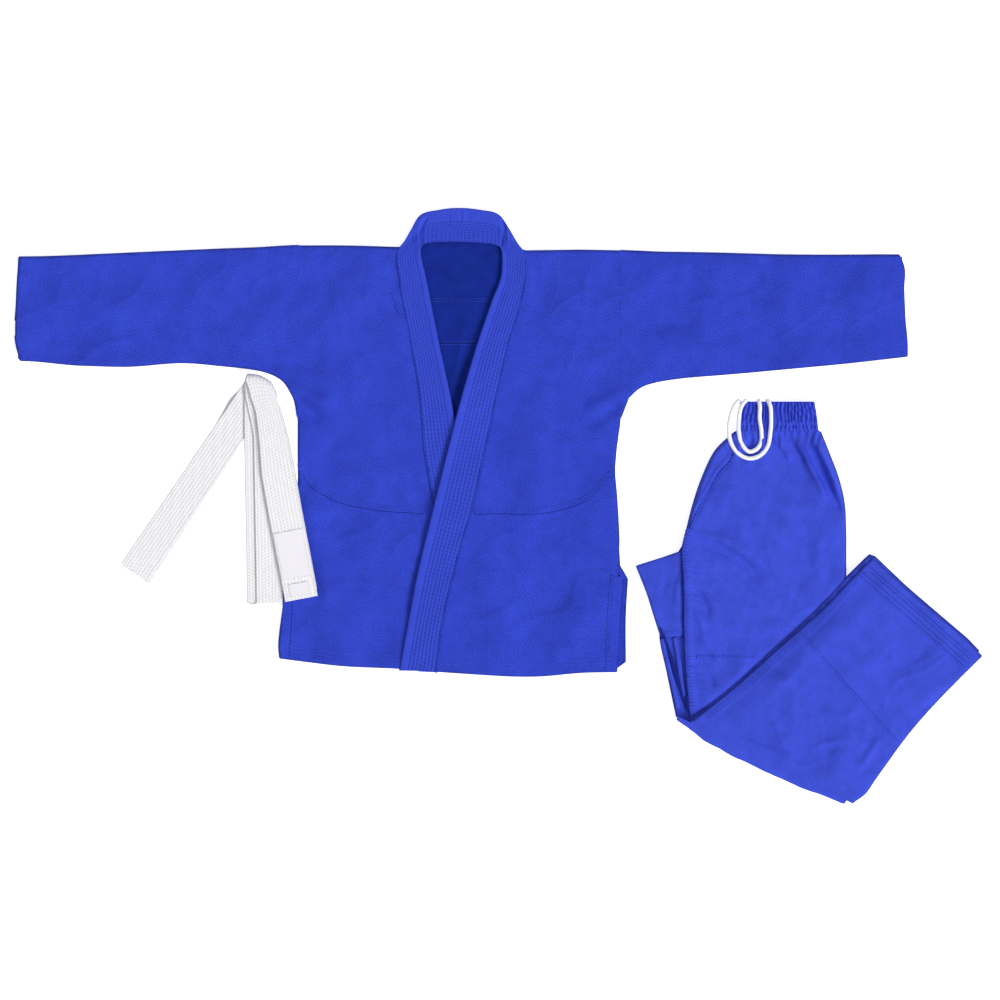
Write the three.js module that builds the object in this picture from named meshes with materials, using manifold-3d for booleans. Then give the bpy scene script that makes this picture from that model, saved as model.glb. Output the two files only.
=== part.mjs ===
// A child's martial arts uniform laid flat: jacket, folded belt and folded trousers.
// Millimetres. +Z is up, the cloth lies on z = 0, and the wearer's right is at -X.
import * as THREE from "three";
import { TessellateModifier } from "three/addons/modifiers/TessellateModifier.js";
import { mergeVertices } from "three/addons/utils/BufferGeometryUtils.js";
import Module from "manifold-3d";

const wasm = await Module();
wasm.setup();

// ---------------------------------------------------------------- materials
const BLUE = 0x2a3cc0;
const INNER_BLUE = 0x2135a8;
const WHITE = 0xf2f1f4;
const FOAM_GREY = 0xb9b9c2;
const ELASTIC_WHITE = 0xe6e6ea;

function cloth(color, roughness = 0.9) {
  return new THREE.MeshStandardMaterial({ color, roughness, metalness: 0 });
}

const pearlWeave = cloth(BLUE);
const innerWeave = cloth(INNER_BLUE);
const twill = cloth(BLUE, 0.85);
const beltCotton = cloth(WHITE, 0.8);
const labelSatin = cloth(WHITE, 0.5);
const coreFill = cloth(FOAM_GREY);
const elasticTape = cloth(ELASTIC_WHITE);
const cordCotton = cloth(WHITE, 0.75);

// ---------------------------------------------------------------- sizes
const SEAM_GAP = 0.4; // between two cloths that are sewn edge to edge
const LAYER_GAP = 0.4; // between two cloths that lie on each other

const WEAVE = 1.4; // thickness of the jacket cloth
const FRONT_Z = 4.2; // underside of the jacket's front layer
const FRONT_TOP = FRONT_Z + WEAVE;
const TAPE = 0.8; // thickness of tapes and patches
const TAPE_GAP = 0.3; // between a tape and the cloth it is sewn to
const BACK_TAPE_Z = WEAVE + TAPE_GAP;
const FRONT_TAPE_Z = FRONT_Z - TAPE_GAP - TAPE;
const WAIST_AT_COLLAR_Y = -11; // where the waist seam runs under the collar
const SLEEVE_SEAM = 2; // how far the room in a sleeve stays inside its edges
const CUFF_TAPE_WIDTH = 17;
const CUFF_TAPE_INSET = 2;
const CUFF_TAPE_WALL = 0.7;
const CUFF_TAPE_FOLD = 1.2; // wall of the cuff tape where it turns from front to back

const COLLAR_Z = BACK_TAPE_Z + TAPE + LAYER_GAP; // underside of the collar where it lies on the back
const COLLAR_THICK = 6.0;
const COLLAR_WALL = 1.2;
const CORE_GAP = 0.4;
const OVER_COLLAR = COLLAR_Z + COLLAR_THICK + LAYER_GAP; // height on top of the lower collar
const OVER_FRONT = FRONT_TOP + LAYER_GAP; // height on top of the lower front
const DRAPE_START = 14; // how far past the lower collar's edges the upper front starts to come down
const DRAPE_WIDTH = 34; // and how far it takes to come down

const TWILL = 1.0; // thickness of the trouser cloth
const LAYER_PITCH = 2.8; // height from one trouser layer to the next
const FOLD_AXIS_Z = 10.4; // height of the line that the legs fold about

const BELT_THICK = 2.4;
const BELT_PITCH = 2.8;
const BELT_WIDTH = 44;
const BELT_WALL = 0.6;
const BELT_CORE_GAP = 0.3;
const BELT_LIFT = 0.2; // the lowest layer's height above the floor
const LABEL_THICK = 0.6;

const CASING_HALF = 1.2; // half the thickness of the waistband's turned cloth
const CHANNEL_HALF = 0.65; // half the room for the elastic in it
const CHANNEL_ROOF = 1.4;
const ELASTIC_HALF = 0.3;
const WAIST_NARROWING = 0.1; // how much the elastic draws the top edge in

const CORD_DIAMETER = 6;
const CORD_SIDES = 8;

const MOST_SPLITS = 12;
const DRAPE_EDGE = 24; // longest edge of a draped cloth's faces

// ---------------------------------------------------------------- shape tools
// Points on a smooth curve through a few chosen points.
function curve(points, perSpan = 3) {
  const spline = new THREE.SplineCurve(points.map(([x, y]) => new THREE.Vector2(x, y)));
  return spline.getPoints(perSpan * (points.length - 1)).map((p) => [p.x, p.y]);
}

// Every point of a line moved by the same amount.
function shifted(points, dx, dy) {
  return points.map(([x, y]) => [x + dx, y + dy]);
}

// The x of a line that runs down the page, at height y.
function xAt(line, y) {
  const rows = [...line].sort((a, b) => a[1] - b[1]);
  if (y <= rows[0][1]) return rows[0][0];
  for (let i = 1; i < rows.length; i += 1) {
    const [x0, y0] = rows[i - 1];
    const [x1, y1] = rows[i];
    if (y <= y1) return x0 + ((x1 - x0) * (y - y0)) / (y1 - y0);
  }
  return rows[rows.length - 1][0];
}

function smooth(value) {
  const t = Math.min(1, Math.max(0, value));
  return t * t * (3 - 2 * t);
}

// A flat cloth: an outline in plan, from height z up by its thickness.
function plate(outline, z, thickness) {
  const shape = new THREE.Shape(outline.map(([x, y]) => new THREE.Vector2(x, y)));
  const geometry = new THREE.ExtrudeGeometry(shape, { depth: thickness, bevelEnabled: false });
  return geometry.translate(0, 0, z);
}

// A cloth that lies on things of different height: z is a function of the place.
function drapedPlate(outline, heightAt, thickness) {
  const flat = plate(outline, 0, thickness);
  flat.deleteAttribute("normal");
  flat.deleteAttribute("uv");
  const fine = new TessellateModifier(DRAPE_EDGE, MOST_SPLITS).modify(flat);
  const position = fine.getAttribute("position");
  for (let i = 0; i < position.count; i += 1) {
    const lift = heightAt(position.getX(i), position.getY(i));
    position.setZ(i, position.getZ(i) + lift);
  }
  return fine;
}

function toManifold(geometry) {
  const bare = geometry.clone();
  bare.deleteAttribute("normal");
  bare.deleteAttribute("uv");
  const merged = mergeVertices(bare, 1e-4);
  return new wasm.Manifold(
    new wasm.Mesh({
      numProp: 3,
      vertProperties: merged.attributes.position.array,
      triVerts: new Uint32Array(merged.index.array),
    }),
  );
}

function cut(geometry, hole) {
  const mesh = toManifold(geometry).subtract(toManifold(hole)).getMesh();
  const result = new THREE.BufferGeometry();
  result.setAttribute("position", new THREE.Float32BufferAttribute(mesh.vertProperties, 3));
  result.setIndex([...mesh.triVerts]);
  return result;
}

// A closed solid from loops of points that follow one another. With inner loops it is a tube open at both ends.
function sweep(outerLoops, innerLoops = null) {
  const points = [];
  const faces = [];
  const put = (loops) =>
    loops.map((loop) => loop.map((p) => points.push(p.x, p.y, p.z) / 3 - 1));
  const quad = (a, b, c, d) => faces.push(a, b, c, a, c, d);
  const sides = (rows, turned) => {
    for (let i = 1; i < rows.length; i += 1) {
      for (let k = 0; k < rows[i].length; k += 1) {
        const next = (k + 1) % rows[i].length;
        const [a, b, c, d] = [rows[i - 1][k], rows[i - 1][next], rows[i][next], rows[i][k]];
        if (turned) faces.push(a, c, b, a, d, c);
        else quad(a, b, c, d);
      }
    }
  };
  const outer = put(outerLoops);
  sides(outer, false);
  const first = outer[0];
  const last = outer[outer.length - 1];
  if (innerLoops) {
    const inner = put(innerLoops);
    sides(inner, true);
    const innerLast = inner[inner.length - 1];
    for (let k = 0; k < first.length; k += 1) {
      const next = (k + 1) % first.length;
      quad(first[next], first[k], inner[0][k], inner[0][next]);
      quad(last[k], last[next], innerLast[next], innerLast[k]);
    }
  } else {
    quad(first[3], first[2], first[1], first[0]);
    quad(last[0], last[1], last[2], last[3]);
  }
  const geometry = new THREE.BufferGeometry();
  geometry.setAttribute("position", new THREE.Float32BufferAttribute(points, 3));
  geometry.setIndex(faces);
  return facingOut(geometry);
}

// A closed ring of loops, the last joined to the first.
function closedSweep(loops) {
  const count = loops[0].length;
  const points = loops.flat().flatMap((p) => [p.x, p.y, p.z]);
  const faces = [];
  loops.forEach((_, i) => {
    const here = i * count;
    const there = ((i + 1) % loops.length) * count;
    for (let k = 0; k < count; k += 1) {
      const next = (k + 1) % count;
      faces.push(here + k, here + next, there + next, here + k, there + next, there + k);
    }
  });
  const geometry = new THREE.BufferGeometry();
  geometry.setAttribute("position", new THREE.Float32BufferAttribute(points, 3));
  geometry.setIndex(faces);
  return facingOut(geometry);
}

// Turns the faces round when they look inwards.
function facingOut(geometry) {
  const position = geometry.getAttribute("position");
  const index = geometry.index.array;
  const [a, b, c] = [new THREE.Vector3(), new THREE.Vector3(), new THREE.Vector3()];
  let volume = 0;
  for (let i = 0; i < index.length; i += 3) {
    a.fromBufferAttribute(position, index[i]);
    b.fromBufferAttribute(position, index[i + 1]);
    c.fromBufferAttribute(position, index[i + 2]);
    volume += a.dot(b.cross(c));
  }
  if (volume < 0) {
    for (let i = 0; i < index.length; i += 3) {
      [index[i + 1], index[i + 2]] = [index[i + 2], index[i + 1]];
    }
  }
  return geometry;
}

// A band's section has a left and a right edge point and the direction of its upper face.
// The loop lies `inset` inside those edges and reaches `half` above and below them.
function bandLoop({ left, right, up }, half, inset) {
  const across = right.clone().sub(left).normalize().multiplyScalar(inset);
  const lift = up.clone().multiplyScalar(half);
  const l = left.clone().add(across);
  const r = right.clone().sub(across);
  return [l.clone().add(lift), r.clone().add(lift), r.clone().sub(lift), l.clone().sub(lift)];
}

function band(sections, half, inset = 0) {
  return sweep(sections.map((section) => bandLoop(section, half, inset)));
}

function hollowBand(sections, half, wall) {
  return sweep(
    sections.map((section) => bandLoop(section, half, 0)),
    sections.map((section) => bandLoop(section, half - wall, wall)),
  );
}

// ---------------------------------------------------------------- the group
const uniform = new THREE.Group();
uniform.name = "martial_arts_uniform";

function add(name, geometry, material) {
  const mesh = new THREE.Mesh(geometry, material);
  mesh.name = name;
  uniform.add(mesh);
}

// ---------------------------------------------------------------- jacket lines
const RIGHT_ARMHOLE_X = -281;
const LEFT_ARMHOLE_X = 169.4;

const rightShoulder = [[RIGHT_ARMHOLE_X, 364], [-210, 364], [-140, 362]];
const leftShoulder = [[34, 357], [113, 358], [LEFT_ARMHOLE_X, 357]];
const backNeck = curve([[-140, 362], [-112, 374], [-55, 376], [8, 374], [34, 357]]);

const rightSide = [[RIGHT_ARMHOLE_X, 120], [-281, 36]];
const leftSide = [[LEFT_ARMHOLE_X, 120], [164, 78], [162, 54]];
const rightSkirtSide = curve([[-280, 36], [-288, -34], [-302, -139], [-308, -190], [-307, -213]]);
const leftSkirtSide = curve([[162, 42], [165, 8], [168, -48], [166, -90], [169, -110], [165, -232]]);

const waistSeam = curve(
  [[-281, 56], [-262, 26], [-236, 10], [-172, -6], [-105, -11], [-1, -11], [66, -10], [127, 11], [162, 46]],
  4,
);

// Collar edges: the right one lies below, the left one crosses over it.
const rightCollarOuter = [[-140, 361], [-140, 316], [-129, 251], [-113, 161], [-105, 71], [-97, 27],
  [-83, -76], [-66, -160], [-49, -231]];
const rightCollarInner = [[-109, 358], [-101, 316], [-86, 240], [-69, 161], [-57, 100], [-43, 27],
  [-29, -76], [-13, -160], [4, -233]];
const leftCollarOuter = [[34, 357], [38, 326], [28, 272], [17, 237], [3, 178], [-15, 94], [-38, -8],
  [-60, -85], [-80, -174], [-87, -231]];
const leftCollarInner = [[3, 356], [3, 326], [-11, 286], [-28, 237], [-46, 178], [-72, 80], [-95, -12],
  [-115, -95], [-130, -174], [-140, -230]];
// Sections round the back of the neck, each as an outer and an inner point.
const neckSections = [
  [[-133, 370], [-108, 363]],
  [[-123, 386], [-105, 366]],
  [[-112, 402], [-98, 368]],
  [[-83, 411], [-78, 369]],
  [[-55, 413.6], [-53, 369]],
  [[-27, 411], [-30, 368]],
  [[1, 403.5], [-10, 366]],
  [[15, 386], [-1, 363]],
  [[25, 370], [2, 360]],
];

// Height of whatever the upper front lies on, from `base` beside the lower collar.
function drapeHeight(x, y, base) {
  const beside = x - xAt(rightCollarInner, y);
  const beyond = xAt(rightCollarOuter, y) - x;
  const up = (OVER_COLLAR - base) * (1 - smooth((beside - DRAPE_START) / DRAPE_WIDTH));
  const down = (OVER_COLLAR - OVER_FRONT) * smooth((beyond - DRAPE_START) / DRAPE_WIDTH);
  return base + up - down;
}

// ---------------------------------------------------------------- jacket
function jacketBack() {
  const upper = [
    ...shifted(waistSeam, 0, SEAM_GAP / 2),
    ...[...leftSide].reverse(),
    ...[...leftShoulder].reverse(),
    ...[...backNeck].reverse().slice(1, -1),
    ...[...rightShoulder].reverse(),
    ...rightSide.slice(0, 1),
  ];
  add("back_panel", plate(upper, 0, WEAVE), pearlWeave);

  const vent = [[169, -83], [180, -102], [177, -154], [177, -218], [166, -226]];
  const hem = curve([[57, -231], [-83, -227], [-223, -219], [-305, -211]]);
  const skirt = [
    ...[...shifted(waistSeam, 0, -SEAM_GAP / 2)].reverse(),
    ...curve([[-281, 36], [-287, -34], [-300, -139], [-306, -190], [-305, -211]]).slice(0, -1),
    ...[...hem].reverse(),
    ...[...vent].reverse(),
    [167, -48],
    [164, 8],
  ];
  add("back_skirt", plate(skirt, 0, WEAVE), pearlWeave);

  const yoke = [[-236, 228], [128, 228], [128, 354], [32, 354], [6, 371], [-55, 373], [-112, 371],
    [-140, 358], [-236, 360]];
  add("back_yoke", plate(yoke, BACK_TAPE_Z, TAPE), innerWeave);
}

function jacketFronts() {
  const aboveWaist = WAIST_AT_COLLAR_Y + SEAM_GAP / 2;
  const belowWaist = WAIST_AT_COLLAR_Y - SEAM_GAP / 2;
  const rightWaist = waistSeam.filter(([x]) => x < -97);
  const rightEdge = shifted(rightCollarOuter, -SEAM_GAP, 0);
  const rightPanel = [
    ...shifted(rightWaist, 0, SEAM_GAP / 2),
    [xAt(rightEdge, aboveWaist), aboveWaist],
    ...[...rightEdge.slice(0, 6)].reverse(),
    ...rightShoulder.slice(0, 2).reverse(),
    rightSide[0],
  ];
  add("right_front_panel", plate(rightPanel, FRONT_Z, WEAVE), pearlWeave);

  const rightHem = curve([[-307, -213], [-223, -223], [-140, -227], [-49.4, -231]]);
  const rightSkirt = [
    ...[...shifted(rightWaist, 0, -SEAM_GAP / 2)].reverse(),
    ...rightSkirtSide.slice(0, -1),
    ...rightHem,
    ...[...rightEdge.slice(6, 8)].reverse(),
    [xAt(rightEdge, belowWaist), belowWaist],
  ];
  add("right_front_skirt", plate(rightSkirt, FRONT_Z, WEAVE), pearlWeave);

  const leftWaist = waistSeam.filter(([x]) => x > -36);
  const leftEdge = shifted(leftCollarOuter, SEAM_GAP, 0);
  const leftHeight = (x, y) => drapeHeight(x, y, FRONT_Z);
  const leftPanel = [
    [xAt(leftEdge, aboveWaist), aboveWaist],
    ...shifted(leftWaist, 0, SEAM_GAP / 2),
    ...[...leftSide].reverse(),
    ...[...leftShoulder].reverse().slice(0, -1),
    ...leftEdge.slice(0, 6),
  ];
  add("left_front_panel", drapedPlate(leftPanel, leftHeight, WEAVE), pearlWeave);

  const leftHem = curve([[-86.6, -231.4], [1, -237], [57, -238], [113, -233], [165, -232]]);
  const leftSkirt = [
    ...leftEdge.slice(7, 9),
    ...leftHem,
    ...[...leftSkirtSide].reverse().slice(1),
    ...[...shifted(leftWaist, 0, -SEAM_GAP / 2)].reverse(),
    [xAt(leftEdge, belowWaist), belowWaist],
  ];
  add("left_front_skirt", drapedPlate(leftSkirt, leftHeight, WEAVE), pearlWeave);
}

function shoulderPatches() {
  const rightEdge = curve([[-237, 358], [-232, 316], [-225, 272], [-213, 228], [-202, 194], [-181, 168]]);
  const right = [...rightEdge, [-119, 168], [-134, 251], [-145, 316], [-145, 355]];
  add("right_shoulder_patch", plate(right, FRONT_TAPE_Z, TAPE), innerWeave);
  const leftEdge = curve([[128, 351], [123, 308], [116, 264], [104, 220], [93, 186], [72, 160]]);
  const left = [...leftEdge, [38, 160], [48, 237], [50, 316], [44, 350]];
  add("left_shoulder_patch", plate(left, FRONT_TAPE_Z, TAPE), innerWeave);
}

function ventTapes() {
  const right = [[-298, -142], [-284, -142], [-288, -208], [-303, -208]];
  const left = [[145, -228], [163, -228], [164, -94], [152, -94]];
  add("right_front_vent_tape", plate(right, FRONT_TAPE_Z, TAPE), innerWeave);
  add("right_back_vent_tape", plate(right, BACK_TAPE_Z, TAPE), innerWeave);
  add("left_front_vent_tape", plate(left, FRONT_TAPE_Z, TAPE), innerWeave);
  const leftBack = [[158, -220], [174, -216], [174, -154], [176, -104], [160, -104]];
  add("left_back_vent_tape", plate(leftBack, BACK_TAPE_Z, TAPE), innerWeave);
}

// One long band: up the right front, round the neck and down the left front.
function collar() {
  const half = COLLAR_THICK / 2;
  const flatHeight = () => COLLAR_Z;
  const leftHeight = (x, y) => drapeHeight(x, y, COLLAR_Z);
  const section = (outer, inner, heightAt) => {
    const left = new THREE.Vector3(...outer, heightAt(...outer) + half);
    const right = new THREE.Vector3(...inner, heightAt(...inner) + half);
    return { left, right, up: new THREE.Vector3(0, 0, 1) };
  };
  // Half-way sections keep the band close to the curve it rests on.
  const withMiddles = (line) =>
    line.flatMap((p, i) => {
      if (i === 0) return [p];
      const q = line[i - 1];
      return [[(p[0] + q[0]) / 2, (p[1] + q[1]) / 2], p];
    });
  const rightInner = [...rightCollarInner].reverse();
  const rightSections = [...rightCollarOuter].reverse()
    .map((outer, i) => section(outer, rightInner[i], flatHeight));
  const neck = neckSections.map(([outer, inner]) => section(outer, inner, flatHeight));
  const innerLine = withMiddles(leftCollarInner);
  const leftSections = withMiddles(leftCollarOuter)
    .map((outer, i) => section(outer, innerLine[i], leftHeight));
  const sections = [...rightSections, ...neck, ...leftSections];
  add("collar_cover", hollowBand(sections, half, COLLAR_WALL), twill);
  const inset = COLLAR_WALL + CORE_GAP;
  add("collar_core", band(sections, half - inset, inset), coreFill);
}

// A sleeve is a tube pressed flat: open at the cuff and at the armhole.
function sleeve(name, tapeName, topEdge, bottomEdge, cuffEdge) {
  const height = FRONT_TOP;
  const outline = [...topEdge, ...cuffEdge, ...bottomEdge];
  const out = Math.sign(topEdge[topEdge.length - 1][0] - topEdge[0][0]);
  const top = shifted(topEdge, 0, -SLEEVE_SEAM);
  const bottom = shifted(bottomEdge, 0, SLEEVE_SEAM);
  // The room runs on past both ends of the tube, which leaves them open.
  const cuffX = topEdge[topEdge.length - 1][0] + 40 * out;
  const armX = topEdge[0][0] - 10 * out;
  const room = [
    [armX, top[0][1]],
    ...top,
    [cuffX, top[top.length - 1][1]],
    [cuffX, bottom[0][1]],
    ...bottom,
    [armX, bottom[bottom.length - 1][1]],
  ];
  const tube = cut(plate(outline, 0, height), plate(room, WEAVE, height - 2 * WEAVE));
  add(name, tube, pearlWeave);

  const low = bottomEdge[0][1] + 2 * SLEEVE_SEAM;
  const high = topEdge[topEdge.length - 1][1] - 2 * SLEEVE_SEAM;
  const cuffInside = (y) => xAt(cuffEdge, y) - CUFF_TAPE_INSET * out;
  const ring = [
    [cuffInside(high), high],
    [cuffInside(low), low],
    [cuffInside(low) - CUFF_TAPE_WIDTH * out, low],
    [cuffInside(high) - CUFF_TAPE_WIDTH * out, high],
  ];
  const midX = (ring[0][0] + ring[2][0]) / 2;
  const slotReach = 30;
  const slot = [
    [midX - slotReach, low + CUFF_TAPE_FOLD],
    [midX + slotReach, low + CUFF_TAPE_FOLD],
    [midX + slotReach, high - CUFF_TAPE_FOLD],
    [midX - slotReach, high - CUFF_TAPE_FOLD],
  ];
  const ringHeight = FRONT_Z - WEAVE - 2 * TAPE_GAP;
  const slotHeight = ringHeight - 2 * CUFF_TAPE_WALL;
  const tape = cut(plate(ring, BACK_TAPE_Z, ringHeight), plate(slot, BACK_TAPE_Z + CUFF_TAPE_WALL, slotHeight));
  add(tapeName, tape, innerWeave);
}

function sleeves() {
  const rightX = RIGHT_ARMHOLE_X - SEAM_GAP;
  sleeve(
    "right_sleeve",
    "right_cuff_tape",
    [[rightX, 364], [-391, 361], [-503, 356], [-671, 350]],
    [[-669, 202], ...curve([[-587, 195.5], [-517, 194], [-447, 199], [-391, 195], [-335, 188], [-303, 174], [-288, 151]]),
      [rightX, 121]],
    [[-675, 288], [-675, 225]],
  );
  const leftX = LEFT_ARMHOLE_X + SEAM_GAP;
  sleeve(
    "left_sleeve",
    "left_cuff_tape",
    [[leftX, 357], [281, 356], [393, 353], [559, 353]],
    [[571, 208], ...curve([[477, 197.5], [337, 184.5], [250, 177], [203, 167], [181, 150]]), [leftX, 121]],
    [[566, 336], [566, 302], [568, 260], [571, 225]],
  );
}

// ---------------------------------------------------------------- belt
// The belt is folded to an eighth of its length and hung over one soft crease, so eight layers lie
// at the crease: four in the left run, two in the middle run and two in the right run.
const CREASE_CENTRE = new THREE.Vector2(-334, 166);
const CREASE_ALONG = new THREE.Vector2(0.97, -0.243);
const CREASE_OUT = new THREE.Vector2(0.243, 0.97);
const LEFT_END = new THREE.Vector2(-508, -90);
const MIDDLE_END = new THREE.Vector2(-329.5, -135);
const RIGHT_END = new THREE.Vector2(-277, -130);
const MIDDLE_DROP = 11.2; // the middle run comes down to the floor
const RIGHT_DROP = 10.8; // the right run comes down onto the jacket's side

const layerZ = (layer) => BELT_THICK / 2 + BELT_LIFT + BELT_PITCH * (layer - 1);
const UP = new THREE.Vector3(0, 0, 1);

// A run from the crease (share 0) to its far end (share 1).
function beltRun(end, layer, drop) {
  const along = end.clone().sub(CREASE_CENTRE).normalize();
  const across = new THREE.Vector2(-along.y, along.x);
  const skew = CREASE_ALONG.clone().multiplyScalar(BELT_WIDTH / 2 / Math.abs(CREASE_ALONG.dot(across)));
  if (skew.dot(across) < 0) skew.negate();
  return (share) => {
    const centre = CREASE_CENTRE.clone().lerp(end, share);
    const straight = across.clone().multiplyScalar(BELT_WIDTH / 2);
    const half = skew.clone().lerp(straight, smooth(share * 5));
    const z = layerZ(layer) - drop * smooth((share - 0.2) / 0.8);
    return {
      left: new THREE.Vector3(centre.x + half.x, centre.y + half.y, z),
      right: new THREE.Vector3(centre.x - half.x, centre.y - half.y, z),
      up: UP.clone(),
    };
  };
}

// The half turn that joins two layers, between the sections `from` and `to`, bulging along `out`.
function halfTurn(from, to, out) {
  const steps = 6;
  const sections = [];
  const outward = new THREE.Vector3(out.x, out.y, 0).normalize();
  const startUp = to.left.z > from.left.z ? -1 : 1;
  for (let i = 1; i < steps; i += 1) {
    const angle = (Math.PI * i) / steps;
    const place = (a, b) => {
      const middle = a.clone().add(b).multiplyScalar(0.5);
      const radius = (b.z - a.z) / 2;
      const p = middle.clone().addScaledVector(outward, Math.abs(radius) * Math.sin(angle));
      p.z = middle.z - radius * Math.cos(angle);
      return p;
    };
    const up = new THREE.Vector3(0, 0, Math.cos(angle)).addScaledVector(outward, startUp * Math.sin(angle));
    sections.push({ left: place(from.left, to.left), right: place(from.right, to.right), up });
  }
  return sections;
}

// Sections along the whole belt, from the end in layer 8 to the end in layer 7.
function beltSections() {
  const runs = [
    [RIGHT_END, 8, RIGHT_DROP], [LEFT_END, 1, 0], [LEFT_END, 4, 0], [MIDDLE_END, 5, MIDDLE_DROP],
    [MIDDLE_END, 6, MIDDLE_DROP], [LEFT_END, 3, 0], [LEFT_END, 2, 0], [RIGHT_END, 7, RIGHT_DROP],
  ];
  const shares = [0, 0.1, 0.2, 0.36, 0.52, 0.68, 0.84, 1];
  const sections = [];
  runs.forEach(([end, layer, drop], i) => {
    const towardsCrease = i % 2 === 0;
    const run = beltRun(end, layer, drop);
    const row = (towardsCrease ? [...shares].reverse() : shares).map((share) => run(share));
    // Every half turn shows the belt's other face, so the faces alternate, and the edges keep their side.
    const faceDown = i % 2 === 1;
    const oriented = row.map(({ left, right, up }) => ({ left, right, up: faceDown ? up.negate() : up }));
    if (i > 0) {
      const before = sections[sections.length - 1];
      const out = towardsCrease
        ? end.clone().sub(CREASE_CENTRE)
        : CREASE_OUT;
      const after = oriented[0];
      const same = before.left.distanceTo(after.left) < before.left.distanceTo(after.right);
      if (!same) oriented.forEach((s) => ([s.left, s.right] = [s.right, s.left]));
      const turn = halfTurn(before, oriented[0], out);
      const sign = Math.sign(before.up.z);
      turn.forEach((s) => s.up.multiplyScalar(sign));
      sections.push(...turn);
    }
    sections.push(...oriented);
  });
  return sections;
}

function belt() {
  const half = BELT_THICK / 2;
  const sections = beltSections();
  add("belt_cover", hollowBand(sections, half, BELT_WALL), beltCotton);
  const inset = BELT_WALL + BELT_CORE_GAP;
  add("belt_core", band(sections, half - inset, inset), coreFill);

  const top = beltRun(RIGHT_END, 8, RIGHT_DROP);
  const labelHalf = LABEL_THICK / 2;
  const onTop = (shares, labelInset) => {
    const rows = shares.map((share) => top(share));
    rows.forEach((row) => {
      row.left.z += half + LAYER_GAP + labelHalf;
      row.right.z += half + LAYER_GAP + labelHalf;
    });
    return band(rows, labelHalf, labelInset);
  };
  add("belt_rank_patch", onTop([0.68, 0.76, 0.84, 0.9], 1.5), labelSatin);
  add("belt_size_label", onTop([0.925, 0.985], 8), labelSatin);
}

// ---------------------------------------------------------------- trousers
// Eight layers: four above the floor in the upper legs, and four in the lower legs folded over them.
const FOLD_START = [250, -293.6];
const FOLD_SLOPE = -0.4933;
const foldY = (x) => FOLD_START[1] + FOLD_SLOPE * (x - FOLD_START[0]);
const onFold = (x) => [x, foldY(x) + SEAM_GAP];

const upperZ = (layer) => LAYER_PITCH * layer;
const lowerZ = (layer) => 2 * FOLD_AXIS_Z - upperZ(layer) - TWILL;

const hipLine = curve([[451, 103.8], [463, 74], [476, 39], [484, 4], [486, -32]]);
const centreFront = curve([[262, -32], [270, 0], [283, 39], [302, 78], [329, 103.8]]);

function upperLegs() {
  const nearInseam = curve([[268, -301.6], [262, -237], [259, -178], [258, -98], [256, -60], [262, -32]]);
  const farInseam = curve([[252, -293.8], [248, -276], [238, -228], [229, -186], [226, -140], [236, -92], [262, -46]]);
  const near = [...nearInseam, ...centreFront.slice(1), ...hipLine, [486, -106], onFold(486)];
  const far = [...farInseam, ...centreFront, ...hipLine.map(([x, y]) => [x - 2, y]), [484, -106], onFold(484)];
  add("right_leg_front_upper", plate(far, upperZ(0), TWILL), twill);
  add("right_leg_back_upper", plate(far, upperZ(1), TWILL), twill);
  add("left_leg_back_upper", plate(near, upperZ(2), TWILL), twill);
  add("left_leg_front_upper", plate(near, upperZ(3), TWILL), twill);

  const gusset = [[282, -52], [244, -67], [192, -84], [207, -122], [218, -157], [227, -185], [282, -181]];
  add("crotch_gusset", plate(gusset, upperZ(1) + TWILL + LAYER_GAP, TWILL), twill);
}

function lowerLegs() {
  const outseam = curve([[675, -210], [622, -263], [582, -307], [554, -342], [526, -381], [512, -401], [494, -413.6]]);
  const innerEdge = curve([[268, -301], [326, -256], [381, -207], [444, -150], [486, -105], [521, -71]]);
  const far = [...innerEdge, ...outseam.slice(0, -1), [494, -413.6]];
  const nearInner = shifted(innerEdge, -2, 2.5).map(([x, y]) => [x, Math.max(y, foldY(x) + 0.8)]);
  const near = [...nearInner, [527, -71], [671, -203], [666, -212], ...outseam.slice(2, -1), [494, -413.6]];
  add("left_leg_front_lower", plate(near, lowerZ(3), TWILL), twill);
  add("left_leg_back_lower", plate(near, lowerZ(2), TWILL), twill);
  add("right_leg_back_lower", plate(far, lowerZ(1), TWILL), twill);
  add("right_leg_front_lower", plate(far, lowerZ(0), TWILL), twill);
}

// The knee patches lie inside the fronts of the legs and run on across the fold.
function kneePatches() {
  const upper = [[270, -303.2], [268, -212], [365, -214], [480, -217], [480, foldY(480) + 0.8]];
  const lower = [[278, -299], [326, -259], [381, -210], [417, -180], [556, -332], [524, -381], [509, -401],
    [492, foldY(492) + 1.2]];
  const below = upperZ(3) - LAYER_GAP - TAPE;
  const above = upperZ(0) + TWILL + LAYER_GAP;
  const mirrored = (z) => 2 * FOLD_AXIS_Z - z - TAPE;
  add("left_knee_patch_upper", plate(upper, below, TAPE), twill);
  add("right_knee_patch_upper", plate(upper, above, TAPE), twill);
  add("left_knee_patch_lower", plate(lower, mirrored(below), TAPE), twill);
  add("right_knee_patch_lower", plate(lower, mirrored(above), TAPE), twill);
}

function hemTapes() {
  const tape = [[519, -76], [669, -211], [652, -229], [502, -94]];
  add("left_hem_tape", plate(tape, lowerZ(2) - LAYER_GAP - TAPE, TAPE), twill);
  add("right_hem_tape", plate(tape, lowerZ(0) - LAYER_GAP - TAPE, TAPE), twill);
}

// The waistband is a ring folded into four layers. Its plan section is drawn in x and z and run along y.
const WAIST_LOW = 104.2;
const WAIST_HIGH = 146;
const WAIST_CENTRE_X = 390;

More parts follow.
